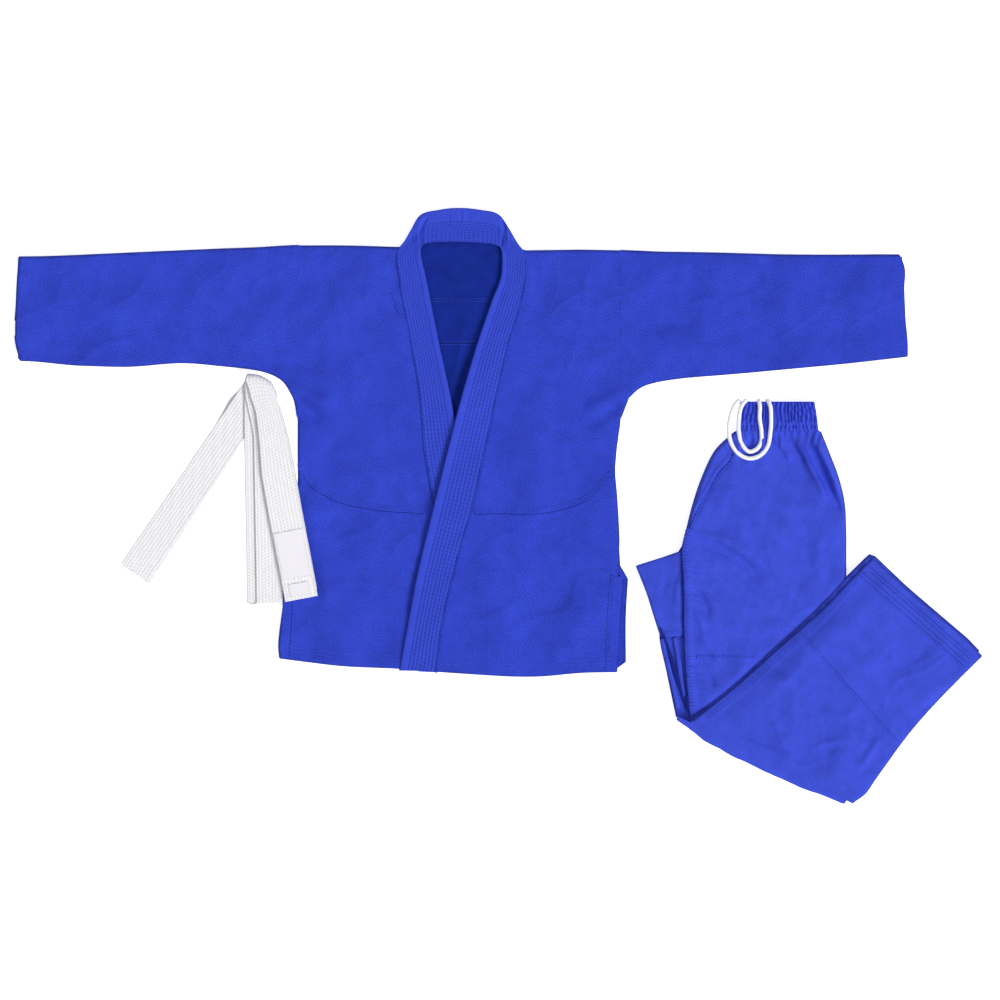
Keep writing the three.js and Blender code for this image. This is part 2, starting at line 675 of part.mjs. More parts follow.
function waistRing() {
  const z = [0, 1, 2, 3].map((layer) => CASING_HALF + LAYER_PITCH * layer);
  const right = 446;
  const leftOuter = 337;
  const leftInner = 346;
  const turn = (x, zFrom, zTo, side, steps) => {
    const middle = (zFrom + zTo) / 2;
    const radius = (zTo - zFrom) / 2;
    return Array.from({ length: steps + 1 }, (_, i) => {
      const angle = (Math.PI * i) / steps;
      return [x + side * Math.abs(radius) * Math.sin(angle), middle - radius * Math.cos(angle)];
    });
  };
  return [
    ...turn(leftOuter, z[0], z[3], -1, 8),
    ...turn(right, z[3], z[2], 1, 6),
    ...turn(leftInner, z[2], z[1], -1, 6),
    ...turn(right, z[1], z[0], 1, 6),
  ];
}

// A section drawn as (offset, y) points, carried round the ring and drawn in at the top by the elastic.
function ringSolid(section) {
  const line = waistRing();
  const loops = line.map(([x, z], i) => {
    const [xa, za] = line[(i + line.length - 1) % line.length];
    const [xb, zb] = line[(i + 1) % line.length];
    const length = Math.hypot(xb - xa, zb - za);
    const [normalX, normalZ] = [-(zb - za) / length, (xb - xa) / length];
    return section.map(([offset, y]) => {
      const share = (y - WAIST_LOW) / (WAIST_HIGH - WAIST_LOW);
      const narrowing = 1 - WAIST_NARROWING * share;
      const wide = x + offset * normalX;
      return new THREE.Vector3(WAIST_CENTRE_X + (wide - WAIST_CENTRE_X) * narrowing, y, z + offset * normalZ);
    });
  });
  return closedSweep(loops);
}

function waistband() {
  const [casing, channel] = [CASING_HALF, CHANNEL_HALF];
  const channelTop = WAIST_HIGH - CHANNEL_ROOF;
  // Cloth turned down over the elastic: open below, where the stitching closes it.
  const turnedCloth = [[-casing, WAIST_LOW], [-casing, WAIST_HIGH], [casing, WAIST_HIGH], [casing, WAIST_LOW],
    [channel, WAIST_LOW], [channel, channelTop], [-channel, channelTop], [-channel, WAIST_LOW]];
  add("waistband_casing", ringSolid(turnedCloth), twill);
  const half = ELASTIC_HALF;
  const [low, high] = [WAIST_LOW + 5, WAIST_HIGH - 3];
  add("waist_elastic", ringSolid([[-half, low], [-half, high], [half, high], [half, low]]), elasticTape);
}

// Two nested loops of cord that come over the top edge of the waistband.
const CORD_ON_LEG = 13.1;
const CORD_ON_BAND = 14.4;
const CORD_AT_SEAM = 14.1;
const outerLoop = [[335, 151.6, 6.5], [334, 151, 12.4], [330, 142, 14.9], [323, 124, CORD_ON_BAND],
  [321, 103, CORD_AT_SEAM], [326, 84, CORD_ON_LEG], [336, 72, CORD_ON_LEG], [349, 66.5, CORD_ON_LEG],
  [363, 69.5, CORD_ON_LEG], [374, 81, CORD_ON_LEG], [379, 103, CORD_AT_SEAM], [380, 122, CORD_ON_BAND],
  [378, 142, 14.9], [376, 151, 12.4], [375, 151.6, 6.5]];
const innerLoop = [[345, 151.6, 6.5], [344, 151, 12.4], [340, 142, 14.9], [335, 122, CORD_ON_BAND],
  [335, 103, CORD_AT_SEAM], [340, 85, CORD_ON_LEG], [350, 76, CORD_ON_LEG], [359, 79, CORD_ON_LEG],
  [366, 89, CORD_ON_LEG], [366.5, 103, CORD_AT_SEAM], [364, 122, CORD_ON_BAND], [364, 142, 14.9],
  [363, 151, 12.4], [363, 151.6, 6.5]];

function drawstring() {
  const ring = Array.from({ length: CORD_SIDES }, (_, i) => {
    const angle = (2 * Math.PI * i) / CORD_SIDES;
    return new THREE.Vector2(Math.cos(angle) * CORD_DIAMETER / 2, Math.sin(angle) * CORD_DIAMETER / 2);
  });
  const tube = (route, steps) => {
    const path = new THREE.CatmullRomCurve3(route.map((p) => new THREE.Vector3(...p)));
    return new THREE.ExtrudeGeometry(new THREE.Shape(ring), { steps, extrudePath: path, bevelEnabled: false });
  };
  add("drawstring_outer_loop", tube(outerLoop, 36), cordCotton);
  add("drawstring_inner_loop", tube(innerLoop, 30), cordCotton);
}

jacketBack();
jacketFronts();
shoulderPatches();
ventTapes();
collar();
sleeves();
belt();
upperLegs();
lowerLegs();
kneePatches();
hemTapes();
waistband();
drawstring();

export default uniform;
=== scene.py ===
"""A child's martial arts uniform laid flat: a blue jacket, a folded white belt and folded blue trousers.

Lengths named in mm are in millimetres, and everything given to Blender is in metres.
"""

import math

import bmesh
import bpy
import numpy as np
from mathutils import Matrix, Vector
from mathutils.geometry import delaunay_2d_cdt
from mathutils.kdtree import KDTree


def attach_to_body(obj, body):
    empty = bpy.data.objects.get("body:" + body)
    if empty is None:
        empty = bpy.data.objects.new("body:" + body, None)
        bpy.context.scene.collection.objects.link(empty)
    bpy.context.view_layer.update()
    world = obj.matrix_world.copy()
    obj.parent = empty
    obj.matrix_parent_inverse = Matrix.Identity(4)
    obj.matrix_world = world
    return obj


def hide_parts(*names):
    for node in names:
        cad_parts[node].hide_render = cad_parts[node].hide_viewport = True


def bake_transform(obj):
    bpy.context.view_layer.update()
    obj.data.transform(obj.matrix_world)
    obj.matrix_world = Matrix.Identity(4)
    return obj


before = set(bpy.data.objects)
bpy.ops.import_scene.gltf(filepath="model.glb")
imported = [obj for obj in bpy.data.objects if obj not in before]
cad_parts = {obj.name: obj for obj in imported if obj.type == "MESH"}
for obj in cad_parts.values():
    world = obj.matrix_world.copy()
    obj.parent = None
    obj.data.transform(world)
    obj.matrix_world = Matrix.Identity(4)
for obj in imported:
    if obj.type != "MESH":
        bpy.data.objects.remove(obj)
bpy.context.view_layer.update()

MM = 0.001

# ------------------------------------------------------------------ sizes shared with the CAD, in mm
WEAVE = 1.4
FRONT_Z = 4.2
FRONT_TOP = FRONT_Z + WEAVE
COLLAR_Z = 2.9
COLLAR_THICK = 6.0
OVER_COLLAR = 9.3
OVER_FRONT = 6.0
DRAPE_START = 14.0
DRAPE_WIDTH = 34.0

TWILL = 1.0
LAYER_PITCH = 2.8
FOLD_AXIS_Z = 10.4
FOLD_START = np.array([250.0, -293.6])
FOLD_ALONG = np.array([0.8968, -0.4424])
FOLD_IN = np.array([0.4424, 0.8968])  # from the fold into the legs

BELT_THICK = 2.4
BELT_PITCH = 2.8
BELT_WIDTH = 44.0

RIGHT_ARMHOLE_X = -281.0
LEFT_ARMHOLE_X = 169.4

JACKET_STEP = 3.0  # distance between the points of a cloth
TROUSER_STEP = 2.2
HIDDEN_STEP = 6.0

SOFT_EDGE = 0.7  # how far a soft cloth stands out beyond the stiff one of the CAD

# ------------------------------------------------------------------ camera, lights and floor
PHOTO_CENTRE = (0.0014, 0.0084)
PHOTO_WIDTH = 1.4
CAMERA_HEIGHT = 6.0
SENSOR_MM = 36.0
CLIP_END = 50
SKY_STRENGTH = 0.3
SUNS = (  # name, direction towards it, strength, softness in degrees
    ("key", (1.0, -0.8, 1.1), 2.85, 28),
    ("fill", (-0.7, 0.9, 1.6), 0.6, 50),
)
FLOOR_SIZE = 8
FLOOR_Z = -0.0004  # a little below the cloth, so that the two don't flicker
FLOOR_GREY = 0.97
FLOOR_GLOW = 0.6


def make_camera():
    camera_data = bpy.data.cameras.new("camera")
    camera_data.sensor_width = SENSOR_MM
    camera_data.lens = SENSOR_MM * CAMERA_HEIGHT / PHOTO_WIDTH
    camera_data.clip_end = CLIP_END
    camera = bpy.data.objects.new("camera", camera_data)
    camera.location = (PHOTO_CENTRE[0], PHOTO_CENTRE[1], CAMERA_HEIGHT)
    bpy.context.scene.collection.objects.link(camera)
    bpy.context.scene.camera = camera


def make_sun(name, towards, strength, softness_degrees):
    light = bpy.data.lights.new(name, "SUN")
    light.energy = strength
    light.angle = math.radians(softness_degrees)
    holder = bpy.data.objects.new(name, light)
    holder.rotation_euler = (-Vector(towards)).to_track_quat("-Z", "Y").to_euler()
    bpy.context.scene.collection.objects.link(holder)


def make_light():
    world = bpy.data.worlds.new("world")
    bpy.context.scene.world = world
    world.use_nodes = True
    background = world.node_tree.nodes["Background"]
    background.inputs["Color"].default_value = (1, 1, 1, 1)
    background.inputs["Strength"].default_value = SKY_STRENGTH
    for sun in SUNS:
        make_sun(*sun)
    scene = bpy.context.scene
    scene.view_settings.view_transform = "Standard"
    scene.view_settings.look = "None"


def make_floor():
    bpy.ops.mesh.primitive_plane_add(size=FLOOR_SIZE, location=(0, 0, FLOOR_Z))
    floor = bpy.context.object
    floor.name = "floor"
    material = bpy.data.materials.new("floor")
    material.use_nodes = True
    shader = material.node_tree.nodes["Principled BSDF"]
    shader.inputs["Base Color"].default_value = (FLOOR_GREY, FLOOR_GREY, FLOOR_GREY, 1)
    shader.inputs["Roughness"].default_value = 1
    shader.inputs["Specular IOR Level"].default_value = 0
    shader.inputs["Emission Color"].default_value = (1, 1, 1, 1)
    shader.inputs["Emission Strength"].default_value = FLOOR_GLOW
    floor.data.materials.append(material)


make_camera()
make_light()
make_floor()


# ------------------------------------------------------------------ materials
def linear(rgb):
    """sRGB from 0 to 255 as the linear colour that a shader takes."""
    values = [c / 255 for c in rgb]
    return tuple(v / 12.92 if v <= 0.04045 else ((v + 0.055) / 1.055) ** 2.4 for v in values) + (1,)


def node(tree, kind, **settings):
    made = tree.nodes.new(kind)
    for name, value in settings.items():
        setattr(made, name, value)
    return made


def maths(tree, operation, a, b=None):
    made = node(tree, "ShaderNodeMath", operation=operation)
    for socket, value in zip(made.inputs, (a, b)):
        if value is None:
            continue
        if isinstance(value, (int, float)):
            socket.default_value = value
        else:
            tree.links.new(value, socket)
    return made.outputs[0]


def ripple_of(tree, operation, value, pitch):
    """A SINE or COSINE that repeats every `pitch` mm."""
    return maths(tree, operation, maths(tree, "MULTIPLY", value, 2 * math.pi / pitch))


GRAIN_WIDTH = 5.2  # of the pearl weave, in mm
GRAIN_LENGTH = 4.2
TWILL_PITCH = 1.3
PLAIN_PITCH = 0.9


def pearl_pattern(tree, u, v):
    """Staggered rows of small raised grains, from -1 to 1. u and v are in mm."""
    across = ripple_of(tree, "COSINE", u, GRAIN_WIDTH)
    along = ripple_of(tree, "COSINE", v, GRAIN_LENGTH)
    return maths(tree, "MULTIPLY", across, along)


def twill_pattern(tree, u, v):
    """Fine diagonal lines."""
    return ripple_of(tree, "SINE", maths(tree, "ADD", u, v), TWILL_PITCH)


def plain_pattern(tree, u, v):
    """Threads that cross over and under one another."""
    across = ripple_of(tree, "SINE", u, PLAIN_PITCH)
    along = ripple_of(tree, "SINE", v, PLAIN_PITCH)
    return maths(tree, "MULTIPLY", across, along)


def map_parts(tree, map_name):
    """A map's place, and the first and second number of it."""
    place = node(tree, "ShaderNodeUVMap", uv_map=map_name).outputs[0]
    split = node(tree, "ShaderNodeSeparateXYZ")
    tree.links.new(place, split.inputs[0])
    return place, split.outputs[0], split.outputs[1]


def noise(tree, place, scale, detail):
    texture = node(tree, "ShaderNodeTexNoise")
    texture.inputs["Scale"].default_value = scale
    texture.inputs["Detail"].default_value = detail
    tree.links.new(place, texture.inputs["Vector"])
    return texture.outputs[0]


GROOVE_WIDTH = 1.25  # of a row of stitches, in mm
ROW_STAGGER = 0.37  # how far each row's stitches are shifted, as a share of a stitch
GROOVE_DEPTH = 2.5  # against a pattern's height of 1


def stitch_rows(tree, count, pitch, stitch):
    """How deep a place lies in one of `count` rows of stitches, from 0 to 1.

    The first number of the "rows" map is a row's number, and the second is mm along it.
    """
    _, row, along = map_parts(tree, "rows")
    nearest = maths(tree, "ROUND", row)
    aside = maths(tree, "MULTIPLY", maths(tree, "SUBTRACT", row, nearest), pitch / GROOVE_WIDTH)
    groove = maths(tree, "EXPONENT", maths(tree, "MULTIPLY", maths(tree, "MULTIPLY", aside, aside), -1.0))
    shifted = maths(tree, "ADD", along, maths(tree, "MULTIPLY", nearest, stitch * ROW_STAGGER))
    dash = ripple_of(tree, "SINE", shifted, stitch)
    dashed = maths(tree, "ADD", maths(tree, "MULTIPLY", dash, 0.42), 0.58)
    after_first = maths(tree, "GREATER_THAN", row, -0.5)
    before_last = maths(tree, "LESS_THAN", row, count - 0.5)
    in_rows = maths(tree, "MULTIPLY", after_first, before_last)
    return maths(tree, "MULTIPLY", maths(tree, "MULTIPLY", groove, dashed), in_rows)


BLOTCH_SCALE = 0.05  # per mm
FIBRE_SCALE = 0.45
CLOTH_SPECULAR = 0.08
BUMP_DISTANCE = 0.0006


def cloth_material(name, rgb, pattern, contrast=0.1, relief=0.25, mottle=0.06, roughness=0.9, rows=None,
                   row_shade=0.4, edge_shade=0.5):
    """A woven cloth: its pattern shows as a relief and as a slight change of colour."""
    material = bpy.data.materials.new(name)
    material.use_nodes = True
    tree = material.node_tree
    shader = tree.nodes["Principled BSDF"]
    shader.inputs["Roughness"].default_value = roughness
    shader.inputs["Specular IOR Level"].default_value = CLOTH_SPECULAR

    place, u, v = map_parts(tree, "cloth_mm")
    height = pattern(tree, u, v)
    blotches = noise(tree, place, BLOTCH_SCALE, 5)
    fibres = noise(tree, place, FIBRE_SCALE, 4)
    woven = maths(tree, "MULTIPLY", height, contrast)
    blotch = maths(tree, "MULTIPLY", maths(tree, "SUBTRACT", blotches, 0.5), mottle * 2)
    fibre = maths(tree, "MULTIPLY", maths(tree, "SUBTRACT", fibres, 0.5), contrast * 5)
    tint = maths(tree, "ADD", maths(tree, "ADD", woven, maths(tree, "ADD", blotch, fibre)), 1.0)
    rough_height = maths(tree, "ADD", height, maths(tree, "MULTIPLY", fibres, 1.5))
    # painted shade: the edge map darkens the colour along free edges, where a real rim would lie in shade
    _, edge, _ = map_parts(tree, "edge")
    tint = maths(tree, "SUBTRACT", tint, maths(tree, "MULTIPLY", edge, edge_shade))
    if rows:
        depth = stitch_rows(tree, *rows)
        # painted shade: the colour darkens in the grooves of the stitch rows, beside the real bump below
        tint = maths(tree, "SUBTRACT", tint, maths(tree, "MULTIPLY", depth, row_shade))
        rough_height = maths(tree, "SUBTRACT", rough_height, maths(tree, "MULTIPLY", depth, GROOVE_DEPTH))
    colour = node(tree, "ShaderNodeVectorMath", operation="SCALE")
    colour.inputs[0].default_value = linear(rgb)[:3]
    tree.links.new(tint, colour.inputs["Scale"])
    tree.links.new(colour.outputs[0], shader.inputs["Base Color"])

    bump = node(tree, "ShaderNodeBump")
    bump.inputs["Strength"].default_value = relief
    bump.inputs["Distance"].default_value = BUMP_DISTANCE
    tree.links.new(rough_height, bump.inputs["Height"])
    tree.links.new(bump.outputs[0], shader.inputs["Normal"])
    return material


COLLAR_WIDTH = 52.0
COLLAR_ROWS = 8
COLLAR_STITCH = 5.6
BELT_ROWS = 9
BELT_STITCH = 4.6  # also the distance from row to row

JACKET_BLUE = (49, 68, 193)
TROUSER_BLUE = (62, 80, 210)
# the jacket's blue darkened with painted shade, for the inside seen in the neck opening
SHADED_INSIDE_BLUE = (20, 42, 140)
FACING_BLUE = (46, 64, 184)
COLLAR_BLUE = (57, 77, 207)
THREAD_BLUE = (68, 90, 212)
# a dark blue of painted shade, for lines that stand in for the shade in seams and gaps
SEAM_SHADE_BLUE = (24, 37, 126)
BELT_WHITE = (246, 245, 249)
LABEL_WHITE = (236, 234, 240)
CORD_WHITE = (246, 246, 248)
FILL_GREY = (190, 190, 198)
ELASTIC_GREY = (232, 232, 236)
THREAD_GREY = (205, 203, 214)

MATERIALS = {
    "pearl_weave": cloth_material("pearl_weave", JACKET_BLUE, pearl_pattern, 0.2, 0.3, 0.2),
    # inner_weave: the pearl weave in a darker blue that paints the shade inside the neck opening
    "inner_weave": cloth_material("inner_weave", SHADED_INSIDE_BLUE, pearl_pattern, 0.12, 0.4, 0.35),
    "collar_twill": cloth_material("collar_twill", COLLAR_BLUE, twill_pattern, 0.06, 0.3,
                                   rows=(COLLAR_ROWS, 5.4, COLLAR_STITCH)),
    "twill": cloth_material("twill", TROUSER_BLUE, twill_pattern, 0.1, 0.3, 0.22),
    "belt_cotton": cloth_material("belt_cotton", BELT_WHITE, plain_pattern, 0.02, 0.3, 0.02,
                                  rows=(BELT_ROWS, BELT_STITCH, BELT_STITCH), row_shade=0.22,
                                  edge_shade=0.3),
    "label_satin": cloth_material("label_satin", LABEL_WHITE, plain_pattern, 0.02, 0.1, 0.01, 0.55),
    "core_fill": cloth_material("core_fill", FILL_GREY, plain_pattern),
    "elastic_tape": cloth_material("elastic_tape", ELASTIC_GREY, plain_pattern),
    "cord_cotton": cloth_material("cord_cotton", CORD_WHITE, plain_pattern, 0.03, 0.4, 0.01),
    "facing": cloth_material("facing", FACING_BLUE, twill_pattern, 0.1, 0.3, 0.1),
    "thread_blue": cloth_material("thread_blue", THREAD_BLUE, plain_pattern, 0.02, 0.1, 0.0, 0.7),
    # the dark material of painted shade in seams and gaps
    "seam_shade": cloth_material("seam_shade", SEAM_SHADE_BLUE, plain_pattern, 0.02, 0.1, 0.0, 0.9),
    "thread_white": cloth_material("thread_white", THREAD_GREY, plain_pattern, 0.02, 0.1, 0.0, 0.7),
}


# ------------------------------------------------------------------ curves and outlines
def ease(value):
    """Rises smoothly from 0 to 1 while value does."""
    t = np.clip(value, 0, 1)
    return t * t * (3 - 2 * t)


def bell(distance, width):
    """1 where the distance is 0, falling smoothly to 0 on both sides."""
    return np.exp(-((distance / width) ** 2))


def run_along(line):
    """How far along a line each of its points is."""
    return np.concatenate([[0], np.cumsum(np.linalg.norm(np.diff(line, axis=0), axis=1))])


def through(points, step):
    """A smooth line through the points, with a point about every step."""
    p = np.asarray(points, float)
    if len(p) < 3:
        count = max(1, int(np.ceil(np.linalg.norm(p[-1] - p[0]) / step)))
        share = np.linspace(0, 1, count + 1)[:, None]
        return p[0] + (p[-1] - p[0]) * share
    gaps = np.linalg.norm(np.diff(p, axis=0), axis=1)
    slopes = np.diff(p, axis=0) / gaps[:, None]
    tangents = np.empty_like(p)
    tangents[0], tangents[-1] = slopes[0], slopes[-1]
    weights = gaps[1:, None] / (gaps[:-1, None] + gaps[1:, None])
    tangents[1:-1] = slopes[:-1] * weights + slopes[1:] * (1 - weights)
    pieces = []
    for i, gap in enumerate(gaps):
        count = max(1, int(np.ceil(gap / step)))
        t = np.linspace(0, 1, count, endpoint=False)[:, None]
        pieces.append(
            (2 * t**3 - 3 * t**2 + 1) * p[i]
            + (t**3 - 2 * t**2 + t) * gap * tangents[i]
            + (3 * t**2 - 2 * t**3) * p[i + 1]
            + (t**3 - t**2) * gap * tangents[i + 1]
        )
    pieces.append(p[-1:])
    return np.vstack(pieces)


def node_outline(name):
    """A CAD cloth's outline seen from above, in mm, anticlockwise."""
    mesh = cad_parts[name].data
    welded = {}
    points = []
    index = []
    for vertex in mesh.vertices:
        key = tuple(round(c, 6) for c in vertex.co)
        if key not in welded:
            welded[key] = len(points)
            points.append((vertex.co.x / MM, vertex.co.y / MM))
        index.append(welded[key])
    edges = set()
    for polygon in mesh.polygons:
        if polygon.normal.z < 0.5:
            continue
        corners = [index[v] for v in polygon.vertices]
        for a, b in zip(corners, corners[1:] + corners[:1]):
            if (b, a) in edges:
                edges.remove((b, a))
            else:
                edges.add((a, b))
    following = dict(edges)
    best = []
    while following:
        start, here = following.popitem()
        loop = [start]
        while here != start and here in following:
            loop.append(here)
            here = following.pop(here)
        if len(loop) > len(best):
            best = loop
    return np.array([points[i] for i in best])


def rounded_outline(loop, step, corner_degrees=24):
    """The outline as a smooth line between its corners."""
    ahead = np.roll(loop, -1, axis=0) - loop
    behind = loop - np.roll(loop, 1, axis=0)
    turn = np.arctan2(
        behind[:, 0] * ahead[:, 1] - behind[:, 1] * ahead[:, 0],
        (behind * ahead).sum(1),
    )
    corners = np.where(np.abs(np.degrees(turn)) > corner_degrees)[0]
    pieces = []
    for start, end in zip(corners, np.roll(corners, -1)):
        if end <= start:
            end += len(loop)
        run = loop[np.arange(start, end + 1) % len(loop)]
        pieces.append(through(run, step)[:-1])
    return np.vstack(pieces)


def distance_to(points, starts, ends):
    """The distance from each point to the nearest of the segments, sampled about every mm."""
    samples = []
    for a, b in zip(starts, ends):
        count = max(1, int(np.linalg.norm(b - a)))
        samples.append(a + (b - a) * (np.arange(count) / count)[:, None])
    samples = np.vstack(samples)
    tree = KDTree(len(samples))
    for i, (x, y) in enumerate(samples):
        tree.insert((x, y, 0), i)
    tree.balance()
    return np.array([tree.find((x, y, 0))[2] for x, y in points])


def distance_to_loop(points, loop):
    return distance_to(points, loop, np.roll(loop, -1, axis=0))


def inside(points, loop):
    """Which points lie inside the closed outline."""
    result = np.zeros(len(points), bool)
    ends = np.roll(loop, -1, axis=0)
    chunk = 8000
    for i in range(0, len(points), chunk):
        x, y = points[i : i + chunk, 0:1], points[i : i + chunk, 1:2]
        crosses = (loop[None, :, 1] > y) != (ends[None, :, 1] > y)
        rise = ends[None, :, 1] - loop[None, :, 1]
        rise = np.where(rise == 0, 1e-9, rise)
        at = loop[None, :, 0] + (y - loop[None, :, 1]) * (ends[None, :, 0] - loop[None, :, 0]) / rise
        result[i : i + chunk] = (crosses & (x < at)).sum(1) % 2 == 1
    return result


def filled(loop, step):
    """Points on and inside an outline, and the triangles between them."""
    low, high = loop.min(0), loop.max(0)
    rows = np.arange(low[1], high[1], step * 0.87)
    columns = np.arange(low[0], high[0], step)
    x, y = np.meshgrid(columns, rows)
    x = x + (np.arange(len(rows)) % 2)[:, None] * step / 2
    grid = np.column_stack([x.ravel(), y.ravel()])
    grid = grid[inside(grid, loop)]
    grid = grid[distance_to_loop(grid, loop) > step * 0.45]
    points = np.vstack([loop, grid])
    made = delaunay_2d_cdt([Vector(p) for p in points], [], [list(range(len(loop)))], 1, 1e-4)
    xy = np.array([tuple(p) for p in made[0]])
    triangles = np.array([f for f in made[2] if len(f) == 3])
    a, b, c = xy[triangles[:, 0]], xy[triangles[:, 1]], xy[triangles[:, 2]]
    area = (b[:, 0] - a[:, 0]) * (c[:, 1] - a[:, 1]) - (b[:, 1] - a[:, 1]) * (c[:, 0] - a[:, 0])
    triangles[area < 0] = triangles[area < 0][:, ::-1]
    return xy, triangles


def reaching(loop, others, amount, near=1.6):
    """The outline moved outwards by `amount` where it runs beside one of the others."""
    ahead = np.roll(loop, -1, axis=0) - np.roll(loop, 1, axis=0)
    outwards = np.column_stack([ahead[:, 1], -ahead[:, 0]])
    outwards /= np.maximum(np.linalg.norm(outwards, axis=1), 1e-9)[:, None]
    result = loop.copy()
    for other in others:
        beside = distance_to_loop(loop, other) < near
        result[beside] += outwards[beside] * amount
    return result


def with_top_edge(loop, x, up, reach=70.0):
    """The outline with its top edge moved up beside the line at x, and less further away."""
    result = loop.copy()
    near = 1 - ease(np.abs(loop[:, 0] - x) / reach)
    result[:, 1] += up * near * ease((loop[:, 1] - 290) / 30)
    return result


def rim_edges(triangles):
    """The directed edges that only one triangle has."""
    edges = np.vstack([triangles[:, [0, 1]], triangles[:, [1, 2]], triangles[:, [2, 0]]])
    known = set(map(tuple, edges))
    return np.array([(a, b) for a, b in known if (b, a) not in known])


# ------------------------------------------------------------------ meshes
def new_object(name, vertices, faces, material, uv=None, sharp_degrees=55, rows=None, top_material=None,
               shade=None):
    """An object from points in mm. uv gives a place in mm on the cloth for every vertex.

    rows gives each vertex its place among the stitch rows, top_material, a copy darkened with painted
    shade, is for faces that look up, and shade, the painted shade of free edges, is 1 where a vertex lies
    on a free edge and falls to 0 beside it.
    """
    mesh = bpy.data.meshes.new(name)
    mesh.from_pydata((np.asarray(vertices) * MM).tolist(), [], faces)
    corner_vertex = np.zeros(len(mesh.loops), int)
    mesh.loops.foreach_get("vertex_index", corner_vertex)
    places = np.asarray(vertices)[:, :2] if uv is None else np.asarray(uv)
    edge = np.zeros((len(places), 2))
    if shade is not None:
        edge[:, 0] = shade
    for map_name, values in (("cloth_mm", places), ("edge", edge), ("rows", rows)):
        if values is not None:
            layer = mesh.uv_layers.new(name=map_name)
            layer.data.foreach_set("uv", values[corner_vertex].astype(np.float32).ravel())
    mesh.polygons.foreach_set("use_smooth", [True] * len(mesh.polygons))
    mesh.set_sharp_from_angle(angle=math.radians(sharp_degrees))
    mesh.materials.append(MATERIALS[material])
    # faces that look up get the second material, a copy darkened with painted shade
    if top_material:
        mesh.materials.append(MATERIALS[top_material])
        normals = np.zeros(len(mesh.polygons) * 3)
        mesh.polygons.foreach_get("normal", normals)
        mesh.polygons.foreach_set("material_index", (normals[2::3] > 0.3).astype(int))
    made = bpy.data.objects.new(name, mesh)
    bpy.context.scene.collection.objects.link(made)
    return made


def grid_shell(top, bottom):
    """A closed cloth between two grids of points, as vertices and faces."""
    rows, columns = top.shape[:2]
    count = rows * columns
    i, k = np.meshgrid(np.arange(rows - 1), np.arange(columns - 1), indexing="ij")
    a = i * columns + k
    upper = np.stack([a, a + 1, a + columns + 1, a + columns], axis=-1).reshape(-1, 4)
    faces = upper.tolist() + (upper[:, ::-1] + count).tolist()
    rim = [k for k in range(columns)]
    rim += [i * columns + columns - 1 for i in range(1, rows)]
    rim += [(rows - 1) * columns + k for k in range(columns - 2, -1, -1)]
    rim += [i * columns for i in range(rows - 2, 0, -1)]
    for a, b in zip(rim, rim[1:] + rim[:1]):
        faces.append((b, a, a + count, b + count))
    return np.vstack([top.reshape(-1, 3), bottom.reshape(-1, 3)]), faces


def shell(xy, triangles, top, bottom):
    """A closed cloth between two heights over the same plan, as vertices, faces and places."""
    count = len(xy)
    vertices = np.vstack([np.column_stack([xy, top]), np.column_stack([xy, bottom])])
    rim = rim_edges(triangles)
    faces = [tuple(t) for t in triangles]
    faces += [tuple(t[::-1] + count) for t in triangles]
    faces += [(b, a, a + count, b + count) for a, b in rim]
    return vertices, faces, np.vstack([xy, xy])


def joined(parts):
    """Several (vertices, faces, places) as one."""
    vertices, faces, places, start = [], [], [], 0
    for v, f, p in parts:
        vertices.append(v)
        places.append(p)
        faces += [tuple(i + start for i in face) for face in f]
        start += len(v)
    return np.vstack(vertices), faces, np.vstack(places)


def attach(piece, nodes=(), body=None):
    if nodes:
        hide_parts(*nodes)
    if body:
        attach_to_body(piece, body)
    return piece


# ------------------------------------------------------------------ folds and creases
def waves(x, y, length, seed):
    """A gentle random swell, about -1 to 1, whose waves are about `length` mm long."""
    random = np.random.default_rng(seed)
    total = np.zeros_like(x, float)
    count = 14
    for _ in range(count):
        angle = random.uniform(0, math.pi)
        wave = length * random.uniform(0.6, 1.8)
        phase = random.uniform(0, 2 * math.pi)
        total += np.sin((x * math.cos(angle) + y * math.sin(angle)) * 2 * math.pi / wave + phase)
    return total / math.sqrt(count)


def swells(x, y, kinds):
    """Several waves together, each given by its height, length and seed."""
    return sum(height * waves(x, y, length, seed) for height, length, seed in kinds)


def wrinkles(x, y, length, seed):
    """Thin random creases about `length` mm apart, from 0 to 1, in some places only."""
    line = np.clip(1 - 2.2 * np.abs(waves(x, y, length, seed)), 0, 1)
    return line**1.5 * ease(0.5 + waves(x, y, length * 2.5, seed + 100))


